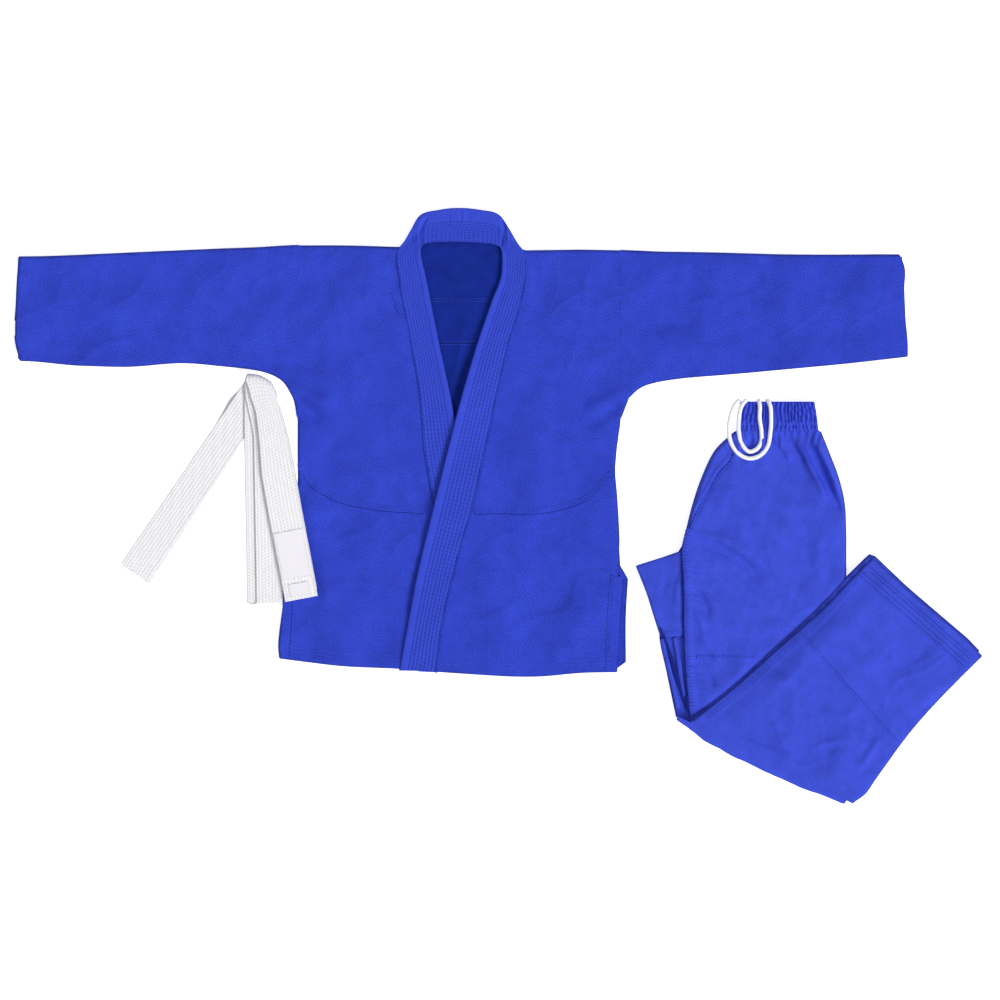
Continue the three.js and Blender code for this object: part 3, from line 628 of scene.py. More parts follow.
def crease(x, y, points, width, height, steep=1.0, fade=0.3):
    """A fold along a line of points: a ridge, or a valley when height is below 0.

    `steep` above 1 makes the side to the left of the line steeper. It fades out over `fade` of its
    length at both ends.
    """
    line = through(points, 6.0)
    starts, ends = line[:-1], line[1:]
    reach = width * 3.2
    low, high = line.min(0) - reach, line.max(0) + reach
    near = np.where((x > low[0]) & (x < high[0]) & (y > low[1]) & (y < high[1]))[0]
    result = np.zeros_like(x, float)
    if not len(near):
        return result
    lengths = np.linalg.norm(ends - starts, axis=1)
    along = np.concatenate([[0], np.cumsum(lengths)])
    p = np.column_stack([x[near], y[near]])
    offset = p[:, None, :] - starts[None]
    direction = (ends - starts)[None]
    share = np.clip((offset * direction).sum(2) / np.maximum(lengths**2, 1e-9)[None], 0, 1)
    gap = offset - share[:, :, None] * direction
    squared = (gap**2).sum(2)
    nearest = squared.argmin(1)
    rows = np.arange(len(near))
    distance = np.sqrt(squared[rows, nearest])
    side = (
        direction[0, nearest, 0] * offset[rows, nearest, 1]
        - direction[0, nearest, 1] * offset[rows, nearest, 0]
    )
    where = (along[nearest] + share[rows, nearest] * lengths[nearest]) / along[-1]
    spread = np.where(side > 0, width / steep, width)
    taper = ease(where / fade) * ease((1 - where) / fade) if fade > 0 else 1.0
    result[near] = height * bell(distance, spread) * taper
    return result


def creases(x, y, strokes):
    return sum(crease(x, y, *stroke[:3], **(stroke[3] if len(stroke) > 3 else {})) for stroke in strokes)


# ------------------------------------------------------------------ stitches
SPINDLE = ((0.0, 0.0), (0.12, 0.8), (0.5, 1.0), (0.88, 0.8), (1.0, 0.0))  # share of its length, and swell
SPINDLE_FLATNESS = 0.7
SEAM_LINE_GAP = 0.25  # so small that the spindles of a seam read as one dark line of painted shade
JACKET_THREAD = dict(thread=0.4, length=2.8, gap=1.2)
TROUSER_THREAD = dict(thread=0.36, length=2.4, gap=1.2)


class Stitches:
    """Threads gathered into one object: each is a small spindle lying along a line."""

    SIDES = 6

    def __init__(self, thread=0.45, length=3.0, gap=1.1):
        self.thread, self.length, self.gap = thread, length, gap
        self.starts, self.ends, self.sizes = [], [], []

    def along(self, line, length=None, gap=None, thread=None):
        """Stitches along a line of points in mm, in three dimensions."""
        line = np.asarray(line, float)
        length = length or self.length
        gap = gap or self.gap
        run = run_along(line)
        at = np.arange(gap, run[-1] - length, length + gap)

        def point(where):
            return np.column_stack([np.interp(where, run, line[:, k]) for k in range(3)])

        if len(at):
            self.starts.append(point(at))
            self.ends.append(point(at + length))
            self.sizes.append(np.full(len(at), thread or self.thread))

    def on(self, points, height_at, lift=0.15, **style):
        """Stitches along a line drawn in plan, lying on a surface."""
        flat = through(points, 3.0)
        z = height_at(flat[:, 0], flat[:, 1]) + lift
        self.along(np.column_stack([flat, z]), **style)

    def make(self, name, material):
        starts, ends, size = np.vstack(self.starts), np.vstack(self.ends), np.concatenate(self.sizes)
        direction = ends - starts
        direction /= np.linalg.norm(direction, axis=1)[:, None]
        side = np.cross(direction, np.array([0.0, 0.0, 1.0]))
        side /= np.maximum(np.linalg.norm(side, axis=1), 1e-6)[:, None]
        up = np.cross(side, direction)
        rings = []
        for share, swell in SPINDLE:
            centre = starts + (ends - starts) * share
            if swell == 0:
                rings.append(centre[:, None, :])
                continue
            angles = np.arange(self.SIDES) * 2 * math.pi / self.SIDES
            wide = (size * swell)[:, None, None]
            high = (size * swell * SPINDLE_FLATNESS)[:, None, None]
            ring = (
                centre[:, None, :]
                + side[:, None, :] * np.cos(angles)[None, :, None] * wide
                + up[:, None, :] * np.sin(angles)[None, :, None] * high
            )
            rings.append(ring)
        vertices = np.concatenate(rings, axis=1)
        per = vertices.shape[1]
        s = self.SIDES
        template = []
        for k in range(s):
            n = (k + 1) % s
            template.append((0, 1 + n, 1 + k))
            template.append((1 + k, 1 + n, 1 + s + n, 1 + s + k))
            template.append((1 + s + k, 1 + s + n, 1 + 2 * s + n, 1 + 2 * s + k))
            template.append((1 + 2 * s + k, 1 + 2 * s + n, 1 + 3 * s))
        faces = [tuple(i + per * row for i in face) for row in range(len(starts)) for face in template]
        return new_object(name, vertices.reshape(-1, 3), faces, material, sharp_degrees=180)


# ------------------------------------------------------------------ jacket heights
RIGHT_COLLAR_OUTER = [[-140, 361], [-140, 316], [-129, 251], [-113, 161], [-105, 71], [-97, 27],
                      [-83, -76], [-66, -160], [-49, -231]]
RIGHT_COLLAR_INNER = [[-109, 358], [-101, 316], [-86, 240], [-69, 161], [-57, 100], [-43, 27],
                      [-29, -76], [-13, -160], [4, -233]]
LEFT_COLLAR_OUTER = [[34, 357], [38, 326], [28, 272], [17, 237], [3, 178], [-15, 94], [-38, -8],
                     [-60, -85], [-80, -174], [-87, -231]]
LEFT_COLLAR_INNER = [[3, 356], [3, 326], [-11, 286], [-28, 237], [-46, 178], [-72, 80], [-95, -12],
                     [-115, -95], [-130, -174], [-140, -230]]
NECK_SECTIONS = [
    [[-133, 370], [-108, 363]],
    [[-123, 386], [-105, 366]],
    [[-112, 402], [-98, 368]],
    [[-83, 411], [-78, 369]],
    [[-55, 413.6], [-53, 369]],
    [[-27, 411], [-30, 368]],
    [[1, 403.5], [-10, 366]],
    [[15, 386], [-1, 363]],
    [[25, 370], [2, 360]],
]


def line_x(line, y):
    rows = np.array(sorted(line, key=lambda p: p[1]), float)
    return np.interp(y, rows[:, 1], rows[:, 0])


def drape_height(x, y, base):
    """Height of whatever the upper front lies on, from `base` beside the lower collar."""
    beside = x - line_x(RIGHT_COLLAR_INNER, y)
    beyond = line_x(RIGHT_COLLAR_OUTER, y) - x
    up = (OVER_COLLAR - base) * (1 - ease((beside - DRAPE_START) / DRAPE_WIDTH))
    down = (OVER_COLLAR - OVER_FRONT) * ease((beyond - DRAPE_START) / DRAPE_WIDTH)
    return base + up - down


WAIST_SEAM = [[-281, 56], [-262, 26], [-236, 10], [-172, -6], [-105, -11], [-1, -11], [66, -10], [127, 11],
              [162, 46]]
RIGHT_SHOULDER_LINE = [[-237, 361], [-232, 316], [-225, 272], [-213, 228], [-202, 194], [-181, 168]]
LEFT_SHOULDER_LINE = [[128, 354], [123, 308], [116, 264], [104, 220], [93, 186], [72, 160]]
RIGHT_INNER_LINE = [[-192, 361], [-190, 316], [-179, 281], [-162, 241]]
LEFT_INNER_LINE = [[82, 354], [79, 306], [68, 272], [52, 232]]

JACKET_CREASES = [
    ([[-297, 163], [-270, 138], [-240, 112]], 7, -2.2),
    ([[-300, 178], [-262, 150], [-225, 140]], 9, 2.0),
    ([[-290, 130], [-262, 108], [-235, 70]], 8, 1.0),
    ([[176, 150], [150, 128], [118, 108]], 8, -1.6),
    ([[182, 168], [150, 148], [112, 138]], 10, 1.6),
    ([[-160, 296], [-150, 280], [-141, 262]], 3, -1.2),
    ([[-151, 292], [-143, 276], [-137, 258]], 3, -1.0),
    ([[-152, 345], [-146, 318], [-142, 290]], 5, -1.2),
    ([[44, 345], [52, 320], [44, 290]], 5, -1.0),
    ([[-240, 210], [-215, 150], [-205, 90]], 16, -0.8),
    ([[95, 200], [80, 150], [85, 90]], 16, -0.8),
    ([[-620, 300], [-520, 275], [-430, 290]], 18, 0.8),
    ([[-600, 240], [-500, 250], [-420, 235]], 14, -0.7),
    ([[300, 300], [400, 270], [500, 280]], 18, 0.8),
    ([[260, 220], [340, 240], [430, 225]], 14, -0.7),
    ([[-120, 60], [-150, 20], [-200, -20]], 14, -0.6),
    ([[30, 60], [60, 10], [110, -60]], 18, 0.8),
    ([[-40, 30], [20, -30], [40, -140]], 16, 0.7),
    ([[-250, -60], [-240, -130], [-250, -200]], 14, 0.7),
    ([[120, -60], [110, -130], [125, -210]], 14, 0.6),
]

# where the belt presses the jacket down, and where the left lapel does
PRESSED_FOLDS = [
    ([[-284, 34], [-274, -30], [-262, -90], [-252, -136]], 8, -2.2, dict(fade=0.15)),
    ([[-262, 20], [-252, -40], [-240, -100], [-234, -150]], 13, 1.6, dict(fade=0.25)),
    ([[-132, 52], [-116, 26], [-104, 2], [-98, -14]], 8, -1.8),
    ([[-146, 40], [-130, 12], [-118, -16]], 9, 1.2),
]


JACKET_SWELLS = ((2.9, 120, 3), (0.5, 42, 4))
DEEPEST_DIP = -1.2  # of a top cloth below the plane it would lie in


def jacket_relief(x, y):
    """What the front of the jacket does above the plane it would lie in."""
    relief = swells(x, y, JACKET_SWELLS) + 0.9 * wrinkles(x, y, 120, 5)
    relief += 2.2 * creases(x, y, JACKET_CREASES)
    beside = np.minimum(np.abs(x - line_x(RIGHT_COLLAR_OUTER, y)), np.abs(x - line_x(LEFT_COLLAR_OUTER, y)))
    relief = 1.8 + relief * (0.35 + 0.65 * ease(beside / 45)) + 1.5 * creases(x, y, PRESSED_FOLDS)
    for line in (WAIST_SEAM, RIGHT_SHOULDER_LINE, LEFT_SHOULDER_LINE):
        relief += crease(x, y, line, 5.0, 0.55, fade=0.02)
    for line in (RIGHT_INNER_LINE, LEFT_INNER_LINE):
        relief += crease(x, y, line, 4.0, 0.35, fade=0.1)
    return relief


def soft_floor(relief, lowest):
    """Keeps a relief above its lowest value without a hard edge."""
    return lowest + np.log1p(np.exp((relief - lowest) * 2.5)) / 2.5


def right_front_top(x, y):
    return FRONT_TOP + soft_floor(jacket_relief(x, y), DEEPEST_DIP)


def left_front_top(x, y):
    return drape_height(x, y, FRONT_Z) + WEAVE + soft_floor(jacket_relief(x, y), DEEPEST_DIP)


def free_edge_distance(points, loop, sewn):
    """How far each point is from the free edges of a cloth, those that aren't sewn to anything."""
    ends = np.roll(loop, -1, axis=0)
    free = ~sewn((loop + ends) / 2)
    if not free.any():
        return np.full(len(points), np.inf)
    return distance_to(points, loop[free], ends[free])


def outer_drop(distance, height, width):
    """How far a cloth comes down towards its free edges."""
    inwards = np.clip(distance / width, 0, 1)
    return height * (1 - np.sqrt(1 - (1 - inwards) ** 2))


def seam_drop(points, loop, neighbours, depth=0.5, width=1.6):
    """A small valley along the edges that are sewn to a neighbour."""
    drop = np.zeros(len(points))
    for other in neighbours:
        drop = np.maximum(drop, depth * bell(distance_to_loop(points, other), width))
    return drop


SEWN_WITHIN = 3.4  # an edge this close to a neighbour is sewn to it and isn't free
# how far in from a free edge the painted edge shade reaches, in mm
EDGE_SHADE_WIDTH = 1.8


def cloth(name, slot, body, top_at, thickness, seams=(), meets=(), under=(), edge_height=3.4,
          edge_width=3.0, lowest=0.0, step=JACKET_STEP, blend=None, back=None,
          shaded_top_slot=None, sewn_along=None, reshape=None, soft_edge=SOFT_EDGE):
    """One CAD cloth as a fine curved sheet.

    seams are the cloths it is sewn to with a valley between, meets those it runs into unbroken, and
    under those whose edge it lies under. With back, its other face (bottom, top) is made as well.
    """
    raw = node_outline(name)
    loop = rounded_outline(raw, step)
    loop = reaching(loop, [raw], soft_edge)
    if reshape:
        loop = reshape(loop)
    outlines = {other: node_outline(other) for other in (*seams, *meets, *under)}
    seamed = [outlines[other] for other in seams]
    loop = reaching(loop, seamed + [outlines[other] for other in meets], 0.2)
    loop = reaching(loop, [outlines[other] for other in under], 2.5)

    def sewn(places):
        found = np.zeros(len(places), bool)
        for other in outlines.values():
            found |= distance_to_loop(places, other) < SEWN_WITHIN
        if sewn_along:
            found |= sewn_along(places)
        return found

    xy, triangles = filled(loop, step)
    x, y = xy[:, 0], xy[:, 1]
    from_edge = free_edge_distance(xy, loop, sewn)
    drop = outer_drop(from_edge, edge_height, edge_width)
    drop += seam_drop(xy, loop, seamed)
    # painted shade, darkest on the free edges
    shade = bell(from_edge, EDGE_SHADE_WIDTH)
    top = top_at(x, y) - drop
    bottom = np.maximum(top - thickness, lowest + 0.05)
    top = np.maximum(top, bottom + 0.25)
    parts = [shell(xy, triangles, top, bottom)]
    if back:
        low, high = back
        parts.append(shell(xy, triangles, np.full(len(xy), high), np.full(len(xy), low)))
    vertices, faces, places = joined(parts)
    piece = new_object(f"{name}_cloth", vertices, faces, slot, places, top_material=shaded_top_slot,
                       shade=np.tile(shade, 2 * len(parts)))
    attach(piece, [name], None if blend else body)
    if blend:
        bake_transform(piece)
    return piece


def surface_strip(line, width, height_at, profile, below=0.6, step=1.3, taper=0.0):
    """A band that lies on a cloth along a line, narrower at its ends by the share `taper`.

    profile(along, across) is its height, with across from -1 to 1.
    """
    flat = through(line, step)
    ahead = np.gradient(flat, axis=0)
    ahead /= np.linalg.norm(ahead, axis=1)[:, None]
    aside = np.column_stack([-ahead[:, 1], ahead[:, 0]])
    across = np.array([-1.0, -0.92, -0.75, -0.5, -0.25, 0.0, 0.25, 0.5, 0.75, 0.92, 1.0])
    run = run_along(flat)
    half_width = width / 2 * (1 - taper * (2 * run / run[-1] - 1) ** 2)
    xy = flat[:, None, :] + aside[:, None, :] * (half_width[:, None] * across)[:, :, None]
    s, u = np.meshgrid(run, across, indexing="ij")
    base = height_at(xy[..., 0].ravel(), xy[..., 1].ravel()).reshape(s.shape)
    top = np.dstack([xy, base + profile(s, u)])
    bottom = np.dstack([xy, base - below])
    vertices, faces = grid_shell(top[:, ::-1], bottom[:, ::-1])
    return vertices, faces


def felled(lift, crinkle, pitch=4.6):
    """The profile of a felled seam: raised, with a crinkle between its two rows of stitches."""

    def at(s, u):
        rounded = np.sqrt(np.clip(1 - np.abs(u) ** 4, 0, 1))
        rows = bell(np.abs(u) - 0.72, 0.12)
        ripple = np.sin(s * 2 * math.pi / pitch + 0.8 * np.sin(s / 9.0)) * (1 - u**2)
        return lift * rounded - 0.35 * lift * rows + crinkle * ripple - 0.1

    return at


def hem_profile(lift):
    """The profile of a folded hem: flat and raised, with softly rounded edges."""
    return lambda s, u: lift * np.sqrt(np.clip(1 - np.abs(u) ** 6, 0, 1)) - 0.05


def make_strip(name, slot, body, line, width, height_at, profile, look=None, taper=0.0):
    vertices, faces = surface_strip(line, width, height_at, profile, taper=taper)
    piece = new_object(name, vertices, faces, look or slot, sharp_degrees=180)
    turned_out(piece)
    attach(piece, body=body)
    return piece


# ------------------------------------------------------------------ jacket
def flat_top(height, amount=0.15, seed=9):
    return lambda x, y: height + amount * waves(x, y, 60, seed)


# folds of the back where it shows inside the neck opening
BACK_FOLDS = [
    ([[-28, 292], [-42, 226], [-62, 130]], 6, -1.6),
    ([[-46, 280], [-56, 210], [-70, 140]], 6, 1.8),
    ([[-12, 284], [-28, 214], [-52, 140]], 6, 1.8),
    ([[-88, 316], [-75, 262], [-68, 214]], 6, -1.2),
    ([[-62, 336], [-55, 290], [-50, 250]], 10, 1.2),
]


def back_top(height):
    plain = flat_top(height)
    return lambda x, y: plain(x, y) + soft_floor(creases(x, y, BACK_FOLDS), -0.7)


INSIDE_TOP = 2.5  # height of the lining inside the neck opening
FRONT_LOWEST = 1.5  # the fronts and sleeves stay above the back


def make_jacket():
    # the back's upper faces and the yoke show inside the neck opening in inner_weave, the weave darkened
    # with painted shade
    cloth("back_panel", "pearl_weave", "jacket", back_top(WEAVE), WEAVE, ["back_skirt"],
          ["right_sleeve", "left_sleeve"], edge_height=0.6, shaded_top_slot="inner_weave")
    cloth("back_skirt", "pearl_weave", "jacket", flat_top(WEAVE), WEAVE, ["back_panel"], edge_height=0.6,
          step=HIDDEN_STEP)
    cloth("back_yoke", "inner_weave", "jacket", back_top(INSIDE_TOP), 0.8, edge_height=0.3, lowest=1.6)

    for side, top in (("right", right_front_top), ("left", left_front_top)):
        cloth(f"{side}_front_panel", "pearl_weave", "jacket", top, WEAVE, [f"{side}_front_skirt"],
              [f"{side}_sleeve"], ["collar_cover"], lowest=FRONT_LOWEST)
        cloth(f"{side}_front_skirt", "pearl_weave", "jacket", top, WEAVE, [f"{side}_front_panel"],
              (), ["collar_cover"], lowest=FRONT_LOWEST)


FOLD_ROLL = 30.0  # how far outwards from the armhole the end point given with a sleeve's blend lies
ARMHOLE_Y = 0.24  # in metres


def top_beside(name, x):
    """The highest place of a CAD cloth's outline beside the line at x."""
    outline = node_outline(name)
    return outline[np.abs(outline[:, 0] - x) < 1.0][:, 1].max()


def make_sleeves():
    for side, x, out in (("right", RIGHT_ARMHOLE_X, -1), ("left", LEFT_ARMHOLE_X, 1)):
        rise = top_beside(f"{side}_front_panel", x) - top_beside(f"{side}_sleeve", x)
        start = (x * MM, ARMHOLE_Y, 0.0)
        end = ((x + out * FOLD_ROLL) * MM, ARMHOLE_Y, 0.0)
        cloth(f"{side}_sleeve", "pearl_weave", None, right_front_top, WEAVE, (),
              [f"{side}_front_panel"], lowest=FRONT_LOWEST, back=(0.0, WEAVE),
              blend=("jacket", f"{side}_sleeve_body", start, end),
              reshape=lambda loop: with_top_edge(loop, x, rise), soft_edge=1.3)


def make_jacket_stitches():
    body = Stitches(**JACKET_THREAD)
    waist = np.array(WAIST_SEAM, float)
    waist[0] += [3, -5]
    waist[-1] -= [5, 3]
    right_waist = waist[waist[:, 0] < -95]
    left_waist = np.vstack([[-35, -12], waist[waist[:, 0] > -20]])
    for side, part, top in (("right", right_waist, right_front_top), ("left", left_waist, left_front_top)):
        make_strip(f"{side}_waist_fell", "pearl_weave", "jacket", part + [0, 4.5], 8, top,
                   felled(0.45, 0.3))
        body.on(part + [0, 7.4], top_of_seam(top, 0.3))
        body.on(part + [0, 1.6], top_of_seam(top, 0.3))
    for line, top in ((RIGHT_SHOULDER_LINE, right_front_top), (LEFT_SHOULDER_LINE, left_front_top),
                      (RIGHT_INNER_LINE, right_front_top), (LEFT_INNER_LINE, left_front_top)):
        for shift in (-3.2, 3.2):
            body.on(np.array(line, float) + [shift, 0], top)
    right_hem = np.array([[-300, -196], [-251, -203], [-223, -206], [-167, -208], [-100, -212]], float)
    left_hem = np.array([[-78, -216], [1, -221], [57, -221], [113, -216], [158, -215]], float)
    for shift in (0, -5):
        body.on(right_hem + [0, shift], right_front_top)
        body.on(left_hem + [0, shift], left_front_top)
    left_vent = [[166, -98], [163.5, -130], [161, -165], [158.5, -214]]
    right_vent = [[-296.5, -80], [-296.5, -139], [-298.5, -175], [-301, -203]]
    for side, line, width, top in (("left", left_vent, 14, left_front_top),
                                   ("right", right_vent, 12.5, right_front_top)):
        make_strip(f"{side}_vent_hem", "pearl_weave", "jacket", line, width, top, hem_profile(0.5))
    body.on([[161, -88], [157, -94], [154, -115], [151, -154], [148, -226]], left_front_top)
    body.on([[-288.5, -60], [-288.5, -139], [-290, -178], [-293, -210]], right_front_top)
    inside_back = back_top(INSIDE_TOP)
    for y in (290, 286.5, 230, 226.5):
        body.on([[-106, y], [-50, y - 0.5], [-2, y]], inside_back, thread=0.22)
    # dark lines of painted shade where one cloth tucks in under another
    seams = Stitches(thread=0.5, length=5.0, gap=SEAM_LINE_GAP)
    seams.on(right_waist + [0, 0.3], right_front_top, lift=0.1)
    seams.on(left_waist + [0, 0.3], left_front_top, lift=0.1)
    seams.on([[157.5, -93], [154.5, -115], [151.5, -154], [148.5, -229]], left_front_top, lift=0.1)
    seams.on([[-289.5, -70], [-289.5, -139], [-291, -178], [-294, -214]], right_front_top, lift=0.1)
    seams.on([[-151, 300], [-146, 284], [-142, 268]], right_front_top, lift=0.1, thread=0.4)
    attach(seams.make("jacket_seam_shade_lines", "seam_shade"), body="jacket")
    made = body.make("jacket_stitches", "thread_blue")
    attach(made, body="jacket")

    cuffs = {
        "right": [[-655, 345], [-659, 288], [-659, 225], [-654, 207]],
        "left": [[544, 348], [549, 302], [551, 260], [554, 214]],
    }
    for side, line in cuffs.items():
        rows = Stitches(**JACKET_THREAD)
        out = -1 if side == "right" else 1
        for shift in (0.0, 5.0, 11.0):
            rows.on(np.array(line, float) + [out * shift, 0], right_front_top)
        made = rows.make(f"{side}_cuff_stitches", "thread_blue")
        attach(made, body=f"{side}_sleeve_body")


# ------------------------------------------------------------------ bands: collar and belt
def across_places(width, fine):
    """Shares across a band from edge to edge, closer together at the rounded edges."""
    edge = np.array([0, 0.25, 0.7, 1.3, 2.0])
    middle = np.linspace(2.8, width - 2.8, max(3, int((width - 5.6) / fine)))
    return np.concatenate([edge, middle, (width - edge)[::-1]]) / width


def band_mesh(left, right, up, half, width, relief, fine=1.0, edge_radius=2.4, row_at=None):
    """A padded band between two edge lines, as vertices, faces, places, rows and length.

    relief(along, across, x, y) lifts its upper face, and row_at(along, across) numbers its stitch rows.
    """
    shares = across_places(width, fine)
    middle = (left + right) / 2
    along = run_along(middle)
    from_edge = np.minimum(shares, 1 - shares) * width
    thin = np.sqrt(1 - (1 - np.clip(from_edge / edge_radius, 0, 1)) ** 2)
    s, u = np.meshgrid(along, shares, indexing="ij")
    surface = left[:, None, :] + (right - left)[:, None, :] * shares[None, :, None]
    lift = half * thin[None, :] + relief(s, u, surface[..., 0], surface[..., 1]) * thin[None, :]
    top = surface + up[:, None, :] * lift[:, :, None]
    sink = half * thin[None, :]
    bottom = surface - up[:, None, :] * sink[:, :, None]
    ring = np.concatenate([top, bottom[:, ::-1][:, 1:-1]], axis=1)
    size = ring.shape[1]
    rows = len(along)
    i, k = np.meshgrid(np.arange(rows - 1), np.arange(size), indexing="ij")
    a, b = i * size + k, i * size + (k + 1) % size
    faces = np.stack([a, b, b + size, a + size], axis=-1).reshape(-1, 4).tolist()
    faces.append(list(range(size))[::-1])
    faces.append([(rows - 1) * size + k for k in range(size)])

    def all_round(values):
        return np.concatenate([values, values[:, ::-1][:, 1:-1]], axis=1).reshape(-1, 2)

    places = all_round(np.stack([u * width, s], axis=-1))
    row = row_at(s, u) if row_at else u * 0 - 9
    return ring.reshape(-1, 3), faces, places, all_round(np.stack([row, s], axis=-1)), float(along[-1])


def band_edge_shade(places, width):
    """Painted shade: 1 along both edges of a band, falling to 0 inwards."""
    from_edge = np.minimum(places[:, 0], width - places[:, 0])
    return bell(from_edge, 1.2)


def turned_out(piece):
    """Makes all faces look outwards."""
    work = bmesh.new()
    work.from_mesh(piece.data)
    bmesh.ops.recalc_face_normals(work, faces=work.faces)
    work.to_mesh(piece.data)
    work.free()


NECK_RISE = 3.4  # how much higher the soft top of the neck stands than its stiff fill


def collar_lines():
    """The collar's outer and inner edges from the right hem round the neck to the left hem."""
    outer = RIGHT_COLLAR_OUTER[::-1] + [s[0] for s in NECK_SECTIONS] + LEFT_COLLAR_OUTER
    inner = RIGHT_COLLAR_INNER[::-1] + [s[1] for s in NECK_SECTIONS] + LEFT_COLLAR_INNER
    outer, inner = np.array(outer, float), np.array(inner, float)
    outer[:, 1] += NECK_RISE * ease((outer[:, 1] - 375) / 30)
    middle = (outer + inner) / 2
    run = run_along(middle)
    both = through(np.column_stack([run, outer, inner]), 2.4)
    return both[:, 1:3], both[:, 3:5]


# where the lapels fold over the ends of the neck band, and the creases at the top of the neck
NECK_FOLDS = [
    ([[-108, 365], [-110, 380], [-106, 394], [-99, 405]], 2.0, -2.2, dict(fade=0.12)),
    ([[3, 362], [6, 378], [7, 392], [4, 403]], 2.0, -2.2, dict(fade=0.12)),
    ([[-114, 362], [-116, 380], [-112, 396], [-104, 408]], 4.0, 1.3, dict(fade=0.1)),
    ([[10, 360], [13, 378], [13, 392], [9, 404]], 4.0, 1.3, dict(fade=0.1)),
    ([[-101, 378], [-97, 398]], 1.2, -0.8),
    ([[-95, 380], [-92, 402]], 1.2, -0.7),
    ([[-3, 378], [-2, 398]], 1.2, -0.8),
    ([[-70, 396], [-69, 412]], 1.3, -0.8),
    ([[-53, 394], [-54, 415]], 1.3, -1.1),
    ([[-49, 394], [-49, 415]], 1.3, 0.7),
    ([[-43, 396], [-42, 414]], 1.3, -0.8),
    ([[-26, 396], [-25, 410]], 1.3, -0.7),
]


def make_core(name, body, left, right, up, inset, half, warp=np.asarray):
    """The fill inside a band, from the band's edge lines. It stops short of the band's two ends."""
    left, right, up = left[2:-2], right[2:-2], up[2:-2]
    middle, side = (left + right) / 2, (right - left) / 2
    across = np.linalg.norm(right - left, axis=1)[:, None]
    share = (across - inset) / across
    vertices, faces, places, _, _ = band_mesh(
        middle - side * share, middle + side * share, up, half, float(across.mean()) - inset,
        lambda s, u, x, y: 0 * s, 8.0, 0.5)
    piece = new_object(f"{name}_fill", warp(vertices), faces, "core_fill", places)
    turned_out(piece)
    attach(piece, [name], body)


def make_collar():
    outer, inner = collar_lines()
    count = len(outer)
    middle = (outer + inner) / 2
    is_left = np.arange(count) > int(np.argmax(outer[:, 1]))
    on_neck = ease((middle[:, 1] - 352) / 24)

    def heights(edge, raised):
        flat = np.full(count, COLLAR_Z)
        draped = drape_height(edge[:, 0], edge[:, 1], COLLAR_Z)
        return np.where(is_left, draped, flat) + COLLAR_THICK / 2 + raised

    left = np.column_stack([outer, heights(outer, 0)])
    right = np.column_stack([inner, heights(inner, 0)])
    up = np.tile([0.0, 0.0, 1.0], (count, 1))
    row_low = 0.06 + 0.34 * on_neck
    row_high = 0.76 + 0.18 * on_neck
    run = run_along(middle)

    def row_at(s, u):
        low, high = np.interp(s, run, row_low), np.interp(s, run, row_high)
        return (u - low) / (high - low) * (COLLAR_ROWS - 1)

    def relief(s, u, x, y):
        row = row_at(s, u)
        in_rows = (row > -0.5) & (row < COLLAR_ROWS - 0.5)
        aside = (row - np.round(row)) * 5.2
        total = 0.25 * waves(s, u * COLLAR_WIDTH, 30, 11)
        total -= 0.6 * bell(aside, 1.2) * in_rows
        total += 0.22 * np.sin(s * 2 * math.pi / COLLAR_STITCH + np.round(row) * 2.3) * in_rows
        neck = np.interp(s, run, on_neck)
        pleats = np.sin(x * 2 * math.pi / 5.8 + 1.1 * np.sin(x / 9.0))
        pleats = pleats * ease((392 - y) / 14) * ease((y - 364) / 6)
        total += neck * 0.5 * pleats
        total += 0.8 * bell(u - 0.9, 0.1) * (1 - neck)
        total += creases(x.ravel(), y.ravel(), NECK_FOLDS).reshape(x.shape)
        return np.maximum(total, -2.4)

    vertices, faces, places, rows, _ = band_mesh(
        left, right, up, COLLAR_THICK / 2, COLLAR_WIDTH, relief, row_at=row_at)
    piece = new_object("collar_band", vertices, faces, "collar_twill", places, sharp_degrees=70, rows=rows,
                       shade=band_edge_shade(places, COLLAR_WIDTH))
    turned_out(piece)
    attach(piece, ["collar_cover"], "jacket")

    make_core("collar_core", "jacket", left, right, up, 12, 0.5)

    threads = Stitches(thread=0.4, length=3.4, gap=2.2)
    # dark lines of painted shade along the lapels' outer edges
    seams = Stitches(thread=0.3, length=5.0, gap=SEAM_LINE_GAP)
    lapel = middle[:, 1] < 350
    for part in (lapel & ~is_left, lapel & is_left):
        for edge_share in (0.015, 0.045):
            line = (left + (right - left) * edge_share)[part]
            line[:, 2] += COLLAR_THICK / 2 - 1.0 + 16 * edge_share
            seams.along(line)
    attach(seams.make("collar_seam_shade_lines", "seam_shade"), body="jacket")
    for at in (6.0, 9.5):
        end = count - 1 - int(at / 2.4)
        line = left[end] + (right[end] - left[end]) * np.linspace(0.06, 0.94, 12)[:, None]
        line[:, 2] += COLLAR_THICK / 2 + 0.1
        threads.along(line, gap=1.2)
    attach(threads.make("collar_stitches", "thread_blue"), body="jacket")


# ------------------------------------------------------------------ belt
CREASE_CENTRE = np.array([-334.0, 166.0])
CREASE_ALONG = np.array([0.97, -0.243])
CREASE_OUT = np.array([0.243, 0.97])
LEFT_END = np.array([-508.0, -90.0])
MIDDLE_END = np.array([-329.5, -135.0])
RIGHT_END = np.array([-277.0, -130.0])
MIDDLE_DROP = 11.2
RIGHT_DROP = 10.8


# the run with the patch turns over as it leaves the crease: it leans over and looks narrower there
RIGHT_RUN_LEAN = ((0, 0.04, 0.12, 0.25, 0.42, 0.6, 1), (3, 4.5, 5.5, 5, 2, 1, 0.5))
RIGHT_RUN_HALF = ((0, 0.04, 0.12, 0.25, 0.4, 1), (22, 21, 17.6, 20.6, 23.3, 23.3))


